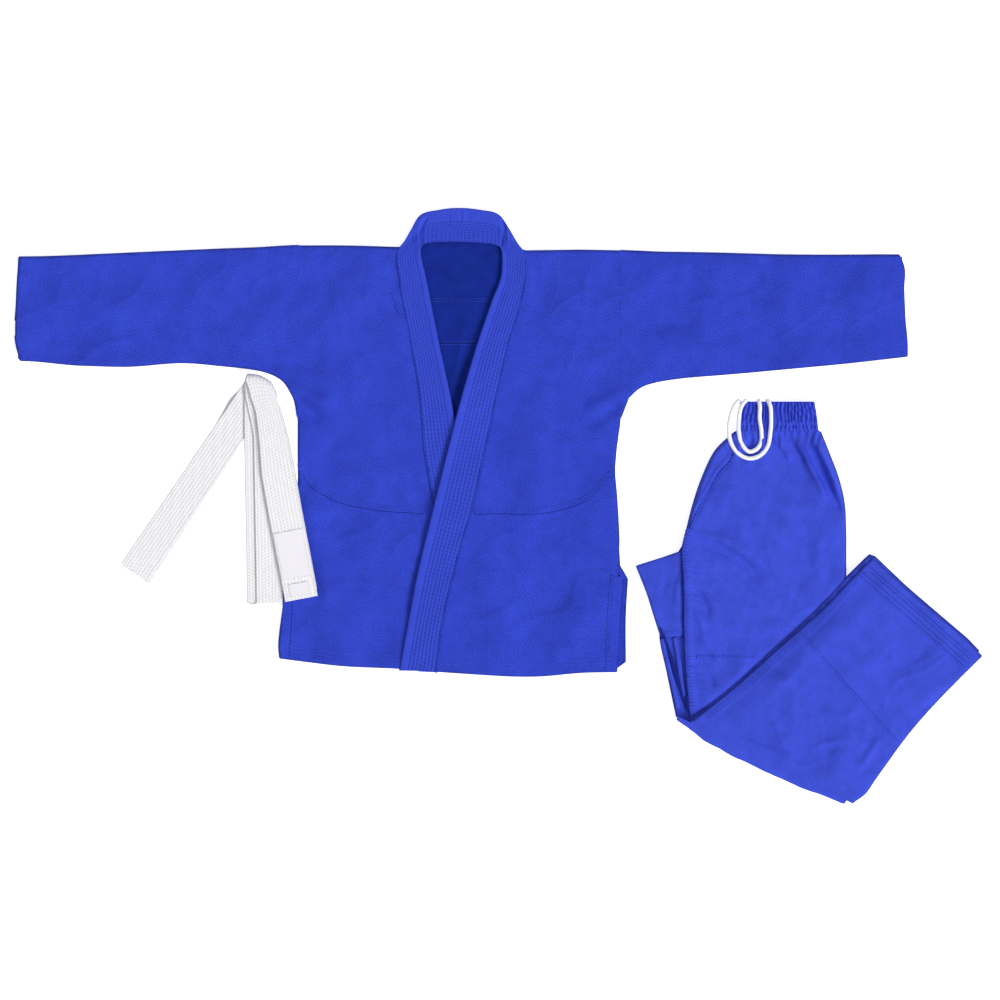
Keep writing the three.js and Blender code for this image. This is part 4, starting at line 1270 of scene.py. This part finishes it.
def belt_run(end, layer, drop, side_step=0.0):
    """Edge points and height of a run at shares of its length, from the crease to its far end."""
    direction = (end - CREASE_CENTRE) / np.linalg.norm(end - CREASE_CENTRE)
    across = np.array([-direction[1], direction[0]])
    skew = CREASE_ALONG * (BELT_WIDTH / 2 / abs(CREASE_ALONG @ across))
    if skew @ across < 0:
        skew = -skew

    def at(share):
        share = np.asarray(share, float)
        centre = CREASE_CENTRE + (end - CREASE_CENTRE) * share[:, None]
        aside = side_step * ease(share * 4)
        half_width = np.full(len(share), BELT_WIDTH / 2)
        if end is LEFT_END:
            aside = side_step * (share - 1.5 * ease(share * 8) * (1 - ease(share * 2.5)))
        if end is RIGHT_END:
            aside = aside + np.interp(share, *RIGHT_RUN_LEAN)
            half_width = np.interp(share, *RIGHT_RUN_HALF)
        centre = centre + across * aside[:, None]
        mix = ease(share * 5)[:, None]
        half = (skew - across * BELT_WIDTH / 2) * (1 - mix) + across * half_width[:, None]
        z = BELT_THICK / 2 + 0.2 + BELT_PITCH * (layer - 1) - drop * ease((share - 0.2) / 0.8)
        return np.column_stack([centre + half, z]), np.column_stack([centre - half, z])

    return at


def half_turn(start, finish, out, sign):
    """The sections of the half turn from one pair of edge points to another, and their up directions."""
    outward = np.array([*(out / np.linalg.norm(out)), 0.0])
    steps = 12
    lefts, rights, ups = [], [], []
    rising = 1 if finish[0][2] > start[0][2] else -1
    for i in range(1, steps):
        angle = math.pi * i / steps
        pair = []
        for a, b in zip(start, finish):
            radius = abs(b[2] - a[2]) / 2
            p = a + (b - a) * (1 - math.cos(angle)) / 2 + outward * radius * math.sin(angle)
            p[2] = (a[2] + b[2]) / 2 - (b[2] - a[2]) / 2 * math.cos(angle)
            pair.append(p)
        lefts.append(pair[0])
        rights.append(pair[1])
        ups.append(sign * (np.array([0, 0, math.cos(angle)]) - rising * outward * math.sin(angle)))
    return lefts, rights, ups


def belt_path():
    """Edge lines and up directions along the whole belt, from the end in layer 8 to the end in layer 7."""
    runs = [
        (RIGHT_END, 8, RIGHT_DROP, 0.4), (LEFT_END, 1, 0, 4.0), (LEFT_END, 4, 0, 0.0),
        (MIDDLE_END, 5, MIDDLE_DROP, -1.0), (MIDDLE_END, 6, MIDDLE_DROP, 12.0), (LEFT_END, 3, 0, 1.0),
        (LEFT_END, 2, 0, 3.0), (RIGHT_END, 7, RIGHT_DROP, 1.2),
    ]
    shares = np.linspace(0, 1, 80)
    lefts, rights, ups = [], [], []
    for i, (end, layer, drop, side_step) in enumerate(runs):
        towards_crease = i % 2 == 0
        left, right = belt_run(end, layer, drop, side_step)(shares[::-1] if towards_crease else shares)
        sign = -1.0 if i % 2 else 1.0
        if i > 0:
            if np.linalg.norm(lefts[-1] - left[0]) > np.linalg.norm(lefts[-1] - right[0]):
                left, right = right, left
            out = end - CREASE_CENTRE if towards_crease else CREASE_OUT
            turn = half_turn((lefts[-1], rights[-1]), (left[0], right[0]), out, -sign)
            lefts += turn[0]
            rights += turn[1]
            ups += turn[2]
        lefts += list(left)
        rights += list(right)
        ups += [np.array([0, 0, sign])] * len(left)
    return np.array(lefts), np.array(rights), np.array(ups)


def round_apex(vertices):
    """Bows the crease outwards in plan, more at its left end, and pulls its right end in."""
    offset = vertices[:, :2] - CREASE_CENTRE
    along, beyond = offset @ CREASE_ALONG, offset @ CREASE_OUT
    push = 4.2 - 0.16 * along - 0.0115 * along**2
    push = np.where(push < 0, push * (1 + 0.08 * np.clip(beyond, 0, 12)), push) * ease((beyond + 22) / 22)
    result = np.array(vertices)
    result[:, :2] += CREASE_OUT * push[:, None]
    return result


def belt_row(s, u):
    """Which stitch row a place across the belt lies in: 0 is the first, near one edge."""
    return u * (BELT_ROWS + 0.6) - 0.8


def make_belt():
    left, right, up = belt_path()

    def relief(s, u, x, y):
        aside = (belt_row(s, u) - np.round(belt_row(s, u))) * BELT_STITCH
        total = 0.1 * waves(s, u * BELT_WIDTH, 20, 21)
        total -= 0.36 * bell(aside, 1.0)
        total += 0.1 * np.sin(s * 2 * math.pi / BELT_STITCH + np.round(belt_row(s, u)) * 1.7)
        return total

    vertices, faces, places, rows, length = band_mesh(
        left, right, up, BELT_THICK / 2, BELT_WIDTH, relief, fine=1.1, edge_radius=1.2, row_at=belt_row)
    piece = new_object("belt_band", round_apex(vertices), faces, "belt_cotton", places, sharp_degrees=70,
                       rows=rows, shade=band_edge_shade(places, BELT_WIDTH))
    turned_out(piece)
    attach(piece, ["belt_cover"], "belt")
    make_core("belt_core", "belt", left, right, up, 7, 0.35, round_apex)
    make_belt_labels()


def make_belt_labels():
    run = belt_run(RIGHT_END, 8, RIGHT_DROP, 0.4)
    edges = Stitches(thread=0.3, length=2.0, gap=1.0)
    for name, low, high, inset in (("belt_rank_patch", 0.68, 0.9, 1.5),
                                   ("belt_size_label", 0.925, 0.985, 8)):
        a, b = run(np.linspace(low, high, 14))
        across = (b - a) / np.linalg.norm(b - a, axis=1)[:, None]
        a, b = a + across * inset, b - across * inset
        lift = np.array([0, 0, BELT_THICK / 2 + 0.35])
        up = np.tile([0.0, 0.0, 1.0], (len(a), 1))
        width = BELT_WIDTH - 2 * inset
        vertices, faces, places, _, length = band_mesh(
            a + lift, b + lift, up, 0.4, width, lambda s, u, x, y: 0 * s, 3.0, 0.6)
        piece = new_object(f"{name}_cloth", vertices, faces, "label_satin", places)
        turned_out(piece)
        attach(piece, [name], "belt")
        inwards = across * 2.4
        corners = [a[0] + inwards[0], a[-1] + inwards[-1], b[-1] - inwards[-1], b[0] - inwards[0]]
        for start, end in zip(corners, corners[1:] + corners[:1]):
            edges.along(np.linspace(start, end, 12) + lift + [0, 0, 0.45])
    attach(edges.make("belt_label_stitches", "thread_white"), body="belt")


# ------------------------------------------------------------------ trousers
TROUSER_CREASES = [
    ([[424, 100], [438, 72], [452, 40], [472, 0], [484, -24]], 5.0, -3.2),
    ([[436, 102], [452, 70], [468, 34], [480, 0]], 5.0, 3.4),
    ([[414, 100], [428, 70], [446, 36], [464, 4]], 6.0, 2.6),
    ([[400, 102], [412, 80], [428, 58]], 4.0, -1.8),
    ([[390, 102], [398, 80], [412, 60]], 4.0, 1.8),
    ([[378, 102], [384, 84], [396, 66]], 3.5, -1.6),
    ([[408, 102], [424, 74], [440, 48]], 3.5, 1.5),
    ([[366, 102], [368, 84], [372, 66]], 3.5, 1.4),
    ([[352, 100], [350, 82], [342, 60]], 4.0, -1.4),
    ([[340, 98], [334, 80], [322, 60]], 4.0, 1.4),
    ([[268, -50], [300, -56], [340, -80], [370, -110]], 7.0, -1.6),
    ([[266, -40], [304, -44], [346, -66], [382, -96]], 8.0, 1.6),
    ([[264, -110], [284, -130], [296, -160]], 5.0, -1.5),
    ([[266, -140], [282, -162], [288, -196]], 5.0, 1.2),
    ([[270, -215], [292, -236], [300, -262]], 5.0, -1.3),
    ([[268, -180], [292, -196], [312, -228]], 6.0, 1.1),
    ([[300, -150], [360, -170], [420, -160]], 12.0, 1.0),
    ([[440, -20], [448, -70], [440, -130]], 12.0, 1.0),
    ([[300, 30], [330, -10], [340, -50]], 14.0, 0.9),
]

LOWER_CREASES = [
    ([[398, -368], [440, -345], [490, -330]], 6.0, -0.8),
    ([[410, -352], [452, -334], [500, -326]], 6.0, 0.7),
    ([[500, -372], [520, -340], [534, -318]], 6.0, 1.0),
    ([[330, -320], [380, -345], [440, -380]], 8.0, 1.4),
    ([[300, -300], [352, -322], [402, -352]], 7.0, -1.0),
    ([[560, -330], [590, -296], [640, -246]], 8.0, -1.4),
    ([[430, -190], [480, -170], [540, -120]], 14.0, 0.8),
    ([[340, -262], [380, -240], [420, -250]], 9.0, 0.9),
]

LEG_SEAM = [[262, -32], [256, -60], [258, -98], [259, -178], [262, -237], [268, -301]]
CENTRE_SEAM = [[330, 84], [326, 67], [308, 46], [296, 25], [283, 4], [271, -22], [263, -41]]
KNEE_SEAM_UPPER = [[266, -211], [365, -213.5], [484, -217]]
KNEE_SEAM_LOWER = [[420, -176], [490, -256], [557, -331]]
LEG_DROP = 10.4  # how far the lower legs come down beyond the upper ones
LEG_DROP_START = 475.0
LEG_DROP_WIDTH = 130.0


def moved(line, x, y):
    return np.array(line, float) + [x, y]


def puckers(x, y, line, reach, pitch, height):
    """Short folds that a row of stitches draws up across the cloth beside it."""
    ripple = np.sin((y + 0.35 * x) * 2 * math.pi / pitch + 2.0 * np.sin(y / 17.0))
    ripple = ripple * ease(0.4 + waves(x, y, 50, 36))
    return ripple * crease(x, y, line, reach, height, fade=0.05)


UPPER_SWELLS = ((1.6, 90, 31), (0.5, 30, 32), (0.16, 13, 33))
LOWER_SWELLS = ((2.2, 95, 41), (0.5, 32, 42), (0.14, 13, 43))


def upper_relief(x, y):
    """What the upper leg on top does above the plane it would lie in."""
    relief = swells(x, y, UPPER_SWELLS)
    relief += 1.3 * wrinkles(x, y, 110, 35) + 2.8 * creases(x, y, TROUSER_CREASES)
    relief += puckers(x, y, moved(LEG_SEAM, 22, 0), 18, 9.0, 0.7)
    relief += crease(x, y, np.array(LEG_SEAM) + [6, 0], 4.0, 0.9, fade=0.02)
    relief += crease(x, y, CENTRE_SEAM, 3.0, -1.6, fade=0.1)
    relief += crease(x, y, KNEE_SEAM_UPPER, 3.0, 0.5, fade=0.02)
    spread = (x - 392) * (1 + (104 - y) / 220)
    pleats = np.sin(spread * 2 * math.pi / 9.5 + 1.3 * np.sin(spread / 11.0)) * ease((y - 58) / 44) ** 1.5
    relief += 1.3 * pleats
    return relief + 1.0 + 0.8 * ease((60 - y) / 30)


def lower_relief(x, y):
    """The same for the lower leg on top."""
    relief = 0.4 + swells(x, y, LOWER_SWELLS)
    relief += 1.2 * wrinkles(x, y, 110, 45)
    relief += 3.2 * creases(x, y, LOWER_CREASES)
    relief += crease(x, y, KNEE_SEAM_LOWER, 3.0, 0.5, fade=0.02)
    return relief


def fold_distance(x, y):
    """How far a place is from the fold at the knees."""
    return (x - FOLD_START[0]) * FOLD_IN[0] + (y - FOLD_START[1]) * FOLD_IN[1]


def leg_drop(x, y):
    return LEG_DROP * ease((x - LEG_DROP_START) / LEG_DROP_WIDTH)


INSEAM_START = np.array([288.0, -292.0])  # the folded legs' edge that lies over the upper legs
INSEAM_IN = np.array([0.679, -0.734])
PRESSED_PITCH = 1.45  # from layer to layer where the legs are pressed together


def inseam_distance(x, y):
    """How far a place is inside the folded legs from their edge over the upper legs."""
    return (x - INSEAM_START[0]) * INSEAM_IN[0] + (y - INSEAM_START[1]) * INSEAM_IN[1]


def pressed(x, y):
    """How much the folded legs are pressed together, 1 at their edge over the upper legs."""
    return (1 - ease(inseam_distance(x, y) / 45)) * ease((fold_distance(x, y) - 6) / 50)


FLAT_AT_FOLD = 16.0  # a cloth's relief fades out over this much beside the fold


def upper_top(layer):
    """Height of an upper leg cloth, counted from the floor: the top one, 3, shows its creases."""
    share = (0.1, 0.15, 0.3, 1.0)[layer]

    def at(x, y):
        calm = ease(fold_distance(x, y) / FLAT_AT_FOLD - 0.3)
        covered = 1 - 0.8 * ease((inseam_distance(x, y) + 14) / 12)
        relief = upper_relief(x, y) * share * calm * covered
        return LAYER_PITCH * layer + TWILL + soft_floor(relief, DEEPEST_DIP)

    return at


def lower_top(layer):
    """Height of a lower leg cloth. Layer 0, the right front, is the one on top."""
    share = (1.0, 0.3, 0.15, 0.1)[layer]

    def at(x, y):
        calm = ease(fold_distance(x, y) / FLAT_AT_FOLD - 0.3)
        press = pressed(x, y)
        lowered = press * (1.2 + (LAYER_PITCH - PRESSED_PITCH) * (3 - layer))
        base = 2 * FOLD_AXIS_Z - LAYER_PITCH * layer - leg_drop(x, y) - lowered
        return base + soft_floor(lower_relief(x, y) * share * calm * (1 - 0.7 * press), DEEPEST_DIP)

    return at


def past_fold(loop):
    """The outline moved a little past the fold, where it ends there."""
    result = loop.copy()
    result[at_fold(loop)] -= FOLD_IN * 0.9
    return result


def upper_leg_outline(layer):
    """The two lower layers stand out a little at the inner leg."""

    def reshape(loop):
        result = past_fold(loop)
        if layer < 2:
            result[:, 0] -= 4.4 * ease((262 - loop[:, 0]) / 8) * ease((-150 - loop[:, 1]) / 40)
        return result

    return reshape


HEM_START = np.array([521.0, -71.0])
HEM_ALONG = np.array([0.742, -0.67])
HEM_OUT = np.array([0.67, 0.742])
HEM_LENGTH = 207.0


def lower_leg_outline(layer):
    """A slightly bowed hem, and edges that show one beside another towards the hem."""
    peek = (-2.2, -0.9, 0.3, 1.2)[layer]

    def reshape(loop):
        result = past_fold(loop)
        along = (loop - HEM_START) @ HEM_ALONG / HEM_LENGTH
        at_hem = np.abs((loop - HEM_START) @ HEM_OUT) < 6
        bow = np.interp(along, (0, 0.3, 0.6, 0.85, 1), (-0.5, -1.6, 0.5, 2.4, 0.5))
        result[at_hem] += HEM_OUT * bow[at_hem][:, None]
        distance = inseam_distance(loop[:, 0], loop[:, 1])
        beside = (np.abs(distance) < 9) * ease((loop[:, 0] - 400) / 80)
        return result - INSEAM_IN * (peek * beside)[:, None]

    return reshape


def at_fold(places):
    return np.abs(fold_distance(places[:, 0], places[:, 1])) < 2.0


GUSSET_FOLDS = [
    ([[251, -84], [244, -108], [239, -132]], 3.5, -1.4),
    ([[243, -92], [232, -112], [225, -130]], 4, -1.0),
    ([[256, -92], [250, -116], [247, -150]], 3.0, 1.2),
    ([[236, -88], [226, -106], [219, -118]], 5, 0.8),
]


def gusset_top(x, y):
    """The gusset rises to the edge of the front leg that lies over it."""
    beside_leg = ease((x - 230) / 20) * (1 - ease((x - 254) / 8))
    return flat_top(5.2, 0.5, 33)(x, y) + 2.8 * beside_leg + soft_floor(creases(x, y, GUSSET_FOLDS), -1.0)


LEG_LAYERS = ("right_leg_front", "right_leg_back", "left_leg_back", "left_leg_front")


def make_legs():
    for layer, name in enumerate(LEG_LAYERS):
        upper_step = TROUSER_STEP if layer == 3 else HIDDEN_STEP
        lower_step = TROUSER_STEP if layer == 0 else HIDDEN_STEP
        turn = make_knee_turn(layer, name)
        cloth(f"{name}_upper", "twill", "upper_trousers", upper_top(layer), TWILL,
              under=["waistband_casing"], edge_height=2.2 * layer, edge_width=5.0,
              lowest=0.75 * layer, step=upper_step,
              sewn_along=at_fold, reshape=upper_leg_outline(layer),
              soft_edge=-1.0 if layer == 3 else 0.0)
        cloth(f"{name}_lower", "twill", "lower_legs", lower_top(layer), TWILL,
              edge_height=1.6 + 0.5 * (3 - layer), edge_width=5.0, lowest=0.4 + 0.6 * (3 - layer),
              step=lower_step, sewn_along=at_fold, reshape=lower_leg_outline(layer))
    for name, layer, above in (("right_hem_tape", 0, -1.05), ("right_knee_patch_lower", 0, -1.05),
                               ("left_hem_tape", 3, 0.4), ("left_knee_patch_lower", 3, 0.4)):
        cloth(name, "twill", "lower_legs", top_of_seam(lower_top(layer), above), 0.3, edge_height=0.2,
              step=HIDDEN_STEP, soft_edge=-2.5)
    cloth("crotch_gusset", "twill", "upper_trousers", gusset_top, TWILL, edge_height=1.5,
          edge_width=4.0, lowest=3.9)


FOLD_LENGTH = 263.0
# how far the outermost cloth stands out beyond the fold, along the fold
BULGE = ((0, 18, 49, 93, 151, 197, 256, 266), (5.0, 8.5, 15.0, 16.5, 16.0, 13.5, 8.0, 6.0))


def make_knee_turn(layer, name):
    """The bend of one leg cloth from its upper part to its lower part, round the ones inside it."""
    radius = FOLD_AXIS_Z - LAYER_PITCH * layer - TWILL / 2
    along = np.linspace(0.4, FOLD_LENGTH - 0.4, 110)
    angle = np.linspace(-math.pi / 2, math.pi / 2, 25)
    t, turn = np.meshgrid(along, angle, indexing="ij")
    reach = np.interp(t, *BULGE) * radius / FOLD_AXIS_Z
    ripple = swells(t, turn * 12, ((0.4, 42, 50 + layer), (0.15, 16, 60))) * np.cos(turn) ** 2
    xy = FOLD_START + FOLD_ALONG * t[..., None]

    def surface(outwards):
        out = reach + (outwards + ripple * radius / FOLD_AXIS_Z) * np.cos(turn)
        up = (radius + outwards) * np.sin(turn)
        plan = xy - FOLD_IN * (out * np.cos(turn))[..., None]
        return np.dstack([plan, FOLD_AXIS_Z + up])

    vertices, faces = grid_shell(surface(TWILL / 2), surface(-TWILL / 2))
    run = np.stack([t, turn * radius], axis=-1).reshape(-1, 2)
    piece = new_object(f"{name}_knee_turn", vertices, faces, "twill", np.vstack([run, run]))
    turned_out(piece)
    attach(piece)
    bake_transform(piece)
    return piece


CENTRE_FELL = [[327, 80], [319, 66], [303, 46], [291.5, 25], [280.5, 5], [274.5, -8]]
KNEE_FELL = [[276, -211], [330, -212.5], [396, -215]]
GUSSET_FELL = [[232, -180], [241, -178], [253, -177]]
SIDE_SEAM = [[288, -292], [326, -263], [381, -214], [444, -157], [486, -112], [515, -82]]
HEM_LINE = np.array([[516, -80], [597, -149], [664, -208]], float)
INNER_ROLL = [[228, -186], [234, -212], [241, -240], [251, -284]]
INNER_EDGE = [[246, -184], [251, -214], [255, -240], [259, -266]]
# the line of a dark strip of painted shade in the gap of the inner leg's fold
INNER_GAP_SHADE = [[226, -170], [233, -190], [240, -210], [247, -232], [256, -262], [262, -286]]
INNER_LEG_Z = 6.7


def inner_leg_top(x, y):
    return np.full(np.shape(x), INNER_LEG_Z)


def make_trouser_strips():
    """The felled seams, the hem, the edges of the inner layers beside the upper leg, and a dark strip of
    painted shade between those edges.
    """
    upper, lower, inner = upper_top(3), lower_top(0), inner_leg_top
    strips = (
        ("inseam_fell", "upper_trousers", moved(LEG_SEAM, 6, 0), 12, upper, felled(0.8, 0.8)),
        ("centre_seam_fell", "upper_trousers", CENTRE_FELL, 7.5, upper, felled(0.6, 0.45)),
        ("knee_seam_fell", "upper_trousers", KNEE_FELL, 7, upper, felled(0.6, 0.6)),
        ("gusset_fell", "upper_trousers", GUSSET_FELL, 9, gusset_top, felled(0.6, 0.5)),
        ("side_seam_fell", "lower_legs", moved(SIDE_SEAM, 3.6, -4.2), 11, lower, felled(0.7, 0.85)),
        ("lower_knee_fell", "lower_legs", KNEE_SEAM_LOWER, 5, lower, felled(0.5, 0.45)),
        ("hem_band", "lower_legs", moved(HEM_LINE, -8.7, -9.6), 24, lower, hem_profile(0.45)),
        ("inner_leg_roll", "upper_trousers", INNER_ROLL, 6.0, inner, felled(1.6, 0.4)),
        ("inner_leg_edge", "upper_trousers", INNER_EDGE, 6.0, inner, felled(1.2, 0.4)),
        # a dark strip of painted shade in the gap between the inner edges
        ("inner_leg_gap_shade", "upper_trousers", INNER_GAP_SHADE, 6.0, inner, hem_profile(1.0), "seam_shade", 0.85),
    )
    for name, body, *rest in strips:
        make_strip(name, "twill", body, *rest)


def make_trouser_seam_shade_lines():
    """Dark lines of painted shade where one cloth runs in under another, and between the rows of the hem.
    """
    seams = Stitches(thread=0.6, length=5.0, gap=SEAM_LINE_GAP)
    seams.on(moved(LEG_SEAM, -0.6, 0), upper_top(3), lift=0.1)
    seams.on(moved(CENTRE_SEAM, -1.0, 0), upper_top(3), lift=0.2, thread=0.8)
    attach(seams.make("upper_seam_shade_lines", "seam_shade"), body="upper_trousers")
    seams = Stitches(thread=0.4, length=3.0, gap=1.0)
    seams.on(moved(KNEE_SEAM_LOWER, 2.4, 0), lower_top(0), lift=0.3)
    # dark lines of painted shade between the hem's rows of stitches
    for inset in (3.0, 8.0, 15.0, 21.0):
        seams.on(HEM_LINE - HEM_OUT * inset, top_of_seam(lower_top(0), 0.38), thread=0.42)
    attach(seams.make("lower_seam_shade_lines", "seam_shade"), body="lower_legs")


def make_trouser_stitches():
    upper = Stitches(**TROUSER_THREAD)
    for shift in (2.0, 10.0):
        upper.on(moved(LEG_SEAM, shift, 0), top_of_seam(upper_top(3), 0.55))
    for shift in (-2.6, 2.8):
        upper.on(moved(CENTRE_FELL, shift, 0), top_of_seam(upper_top(3), 0.5))
    attach(upper.make("upper_trouser_stitches", "thread_blue"), body="upper_trousers")

    lower = Stitches(**TROUSER_THREAD)
    for shift in (0.9, 6.4):
        lower.on(moved(SIDE_SEAM, shift * 0.65, -shift * 0.76), top_of_seam(lower_top(0), 0.5))
    for inset in (4.0, 10.0, 16.0, 22.0):
        lower.on(HEM_LINE - HEM_OUT * (inset + 0.9), top_of_seam(lower_top(0), 0.42), thread=0.42)
    attach(lower.make("lower_leg_stitches", "thread_blue"), body="lower_legs")


def top_of_seam(height_at, lift):
    return lambda x, y: height_at(x, y) + lift


# ------------------------------------------------------------------ waistband
WAIST_LOW = 104.2
WAIST_HIGH = 146.0
WAIST_CENTRE_X = 390.0
WAIST_RIGHT_X = 444.4
WAIST_LEFT_X = (337.0, 346.0)  # of the outer and the inner turn
WAIST_NARROWING = 0.1  # by how much the elastic draws it in at the top
CASING_HALF = 1.2
BAND_STITCHES = (106.0, 114.5)  # the levels of its two rows of stitches
BAND_STITCH_X = (338.0, 447.0)
GATHER_HEIGHT = 1.5
GATHER_LIFT = 1.3


def waist_line():
    """The middle of the casing in x and z: a ring folded into four layers."""
    heights = [CASING_HALF + LAYER_PITCH * k for k in range(4)]
    left_outer, left_inner = WAIST_LEFT_X

    def turn(x, low, high, side, steps):
        angle = np.linspace(0, math.pi, steps + 1)
        radius = (high - low) / 2
        return np.column_stack([x + side * abs(radius) * np.sin(angle),
                                (low + high) / 2 - radius * np.cos(angle)])

    corners = [
        turn(left_outer, heights[0], heights[3], -1, 16),
        turn(WAIST_RIGHT_X, heights[3], heights[2], 1, 10),
        turn(left_inner, heights[2], heights[1], -1, 10),
        turn(WAIST_RIGHT_X, heights[1], heights[0], 1, 10),
    ]
    pieces = []
    for i, part in enumerate(corners):
        pieces.append(part)
        following = corners[(i + 1) % 4][0]
        straight = np.linspace(part[-1], following, 130)[1:-1]
        pieces.append(straight)
    return np.vstack(pieces)


def gathers(s, y):
    """The ruffles that the elastic draws up: s runs round the waist."""
    fold = np.sin(s * 2 * math.pi / 5.4 + 1.1 * np.sin(y / 5.0 + s / 11.0) + 1.2 * np.sin(s / 7.0))
    small = np.sin(s * 2 * math.pi / 3.7 + 1.5 * np.sin(y / 3.4) + 0.7 * np.sin(s / 5.0))
    return fold + 0.4 * small


def make_waistband():
    line = waist_line()
    ahead = np.roll(line, -1, axis=0) - np.roll(line, 1, axis=0)
    normal = np.column_stack([-ahead[:, 1], ahead[:, 0]]) / np.linalg.norm(ahead, axis=1)[:, None]
    run = run_along(line)
    levels = np.linspace(WAIST_LOW, WAIST_HIGH, 36)
    top_layer = ease((line[:, 1] - 8.9) / 0.6)
    bottom_layer = ease((1.6 - line[:, 1]) / 0.3)
    count = len(line)
    outer, inner = [], []
    for y in levels:
        share = (y - WAIST_LOW) / (WAIST_HIGH - WAIST_LOW)
        narrowing = 1 - WAIST_NARROWING * share
        low_row, high_row = BAND_STITCHES
        pinch = 1 - 0.75 * (bell(y - high_row, 1.6) + bell(y - low_row, 1.4))
        ruffle = gathers(run, y) * pinch
        loose = GATHER_HEIGHT * ruffle * top_layer + 0.12 * ruffle * (1 - top_layer) * (1 - bottom_layer)
        loose += GATHER_LIFT * top_layer
        lip = 1.1 * ease((share - 0.94) / 0.06)
        outwards = CASING_HALF + loose - lip
        inwards = -CASING_HALF + loose * 0.4
        for side, rows in ((outwards, outer), (inwards, inner)):
            place = line + normal * (side * np.ones(count))[:, None]
            x = WAIST_CENTRE_X + (place[:, 0] - WAIST_CENTRE_X) * narrowing
            rows.append(np.column_stack([x, np.full(count, y), place[:, 1]]))
    vertices = np.vstack(outer + inner)
    rows = len(levels)
    start = rows * count

    def grid(base):
        found = []
        for i in range(rows - 1):
            low, high = base + i * count, base + (i + 1) * count
            for k in range(count):
                n = (k + 1) % count
                found.append((low + k, low + n, high + n, high + k))
        return found

    faces = grid(0) + [f[::-1] for f in grid(start)]
    for row in (0, rows - 1):
        for k in range(count):
            here, following = row * count + k, row * count + (k + 1) % count
            faces.append((following, here, start + here, start + following))
    places = np.column_stack([np.tile(run, 2 * rows), vertices[:, 1]])
    piece = new_object("waistband_cloth", vertices, faces, "twill", places, sharp_degrees=70)
    turned_out(piece)
    attach(piece, ["waistband_casing"], "upper_trousers")

    rows = Stitches(thread=0.34, length=2.0, gap=0.9)
    x = np.linspace(*BAND_STITCH_X, 60)
    z = 3 * LAYER_PITCH + 3 * CASING_HALF
    for y in BAND_STITCHES:
        rows.along(np.column_stack([x, np.full(60, y), np.full(60, z)]))
    attach(rows.make("waistband_stitches", "thread_blue"), body="upper_trousers")


# ------------------------------------------------------------------ drawstring
CORD_DIAMETER = 6.0
CORD_ON_LEG = 13.1
CORD_ON_BAND = 14.4
CORD_AT_SEAM = 14.1
OUTER_LOOP = [[335, 147, 6.5], [334, 146.6, 12.6], [330, 142, 14.9], [323, 124, CORD_ON_BAND],
              [321, 103, CORD_AT_SEAM], [326, 84, CORD_ON_LEG], [336, 72, CORD_ON_LEG],
              [349, 66.5, CORD_ON_LEG], [363, 69.5, CORD_ON_LEG], [374, 81, CORD_ON_LEG],
              [379, 103, CORD_AT_SEAM], [380, 122, CORD_ON_BAND], [378, 142, 14.9], [376, 146.6, 12.6],
              [375, 147, 6.5]]
INNER_LOOP = [[345, 147, 6.5], [344, 146.6, 12.6], [340, 142, 14.9], [335, 122, CORD_ON_BAND],
              [335, 103, CORD_AT_SEAM], [340, 85, CORD_ON_LEG], [350, 76, CORD_ON_LEG],
              [359, 79, CORD_ON_LEG], [366, 89, CORD_ON_LEG], [366.5, 103, CORD_AT_SEAM],
              [364, 122, CORD_ON_BAND], [364, 142, 14.9], [363, 146.6, 12.6], [363, 147, 6.5]]


def make_cord(name, route, node_name):
    line = through(route, 2.5) * MM
    curve = bpy.data.curves.new(name, "CURVE")
    curve.dimensions = "3D"
    curve.bevel_depth = CORD_DIAMETER * MM / 2
    curve.bevel_resolution = 4
    curve.use_fill_caps = True
    spline = curve.splines.new("POLY")
    spline.points.add(len(line) - 1)
    for point, place in zip(spline.points, line):
        point.co = (*place, 1)
    curve.materials.append(MATERIALS["cord_cotton"])
    piece = bpy.data.objects.new(name, curve)
    bpy.context.scene.collection.objects.link(piece)
    attach(piece, [node_name], "upper_trousers")


def make_drawstring():
    make_cord("drawstring_outer", OUTER_LOOP, "drawstring_outer_loop")
    make_cord("drawstring_inner", INNER_LOOP, "drawstring_inner_loop")


# ------------------------------------------------------------------ the CAD nodes that show as they are
SHOWN_AS_CAD = {
    "inner_weave": ["right_shoulder_patch", "left_shoulder_patch", "right_front_vent_tape",
                    "right_back_vent_tape", "left_front_vent_tape", "left_back_vent_tape",
                    "right_cuff_tape", "left_cuff_tape"],
    "elastic_tape": ["waist_elastic"],
    "twill": ["left_knee_patch_upper", "right_knee_patch_upper"],
}


def dress_cad_nodes():
    for slot, names in SHOWN_AS_CAD.items():
        for name in names:
            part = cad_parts[name]
            part.data.materials.clear()
            part.data.materials.append(MATERIALS["facing" if slot == "inner_weave" else slot])
            layer = part.data.uv_layers.get("cloth_mm") or part.data.uv_layers.new(name="cloth_mm")
            for loop in part.data.loops:
                place = part.data.vertices[loop.vertex_index].co
                layer.data[loop.index].uv = (place.x / MM, place.y / MM)


make_drawstring()
make_jacket()
make_sleeves()
make_collar()
make_jacket_stitches()
make_belt()
make_legs()
make_trouser_strips()
make_trouser_seam_shade_lines()
make_trouser_stitches()
make_waistband()
dress_cad_nodes()
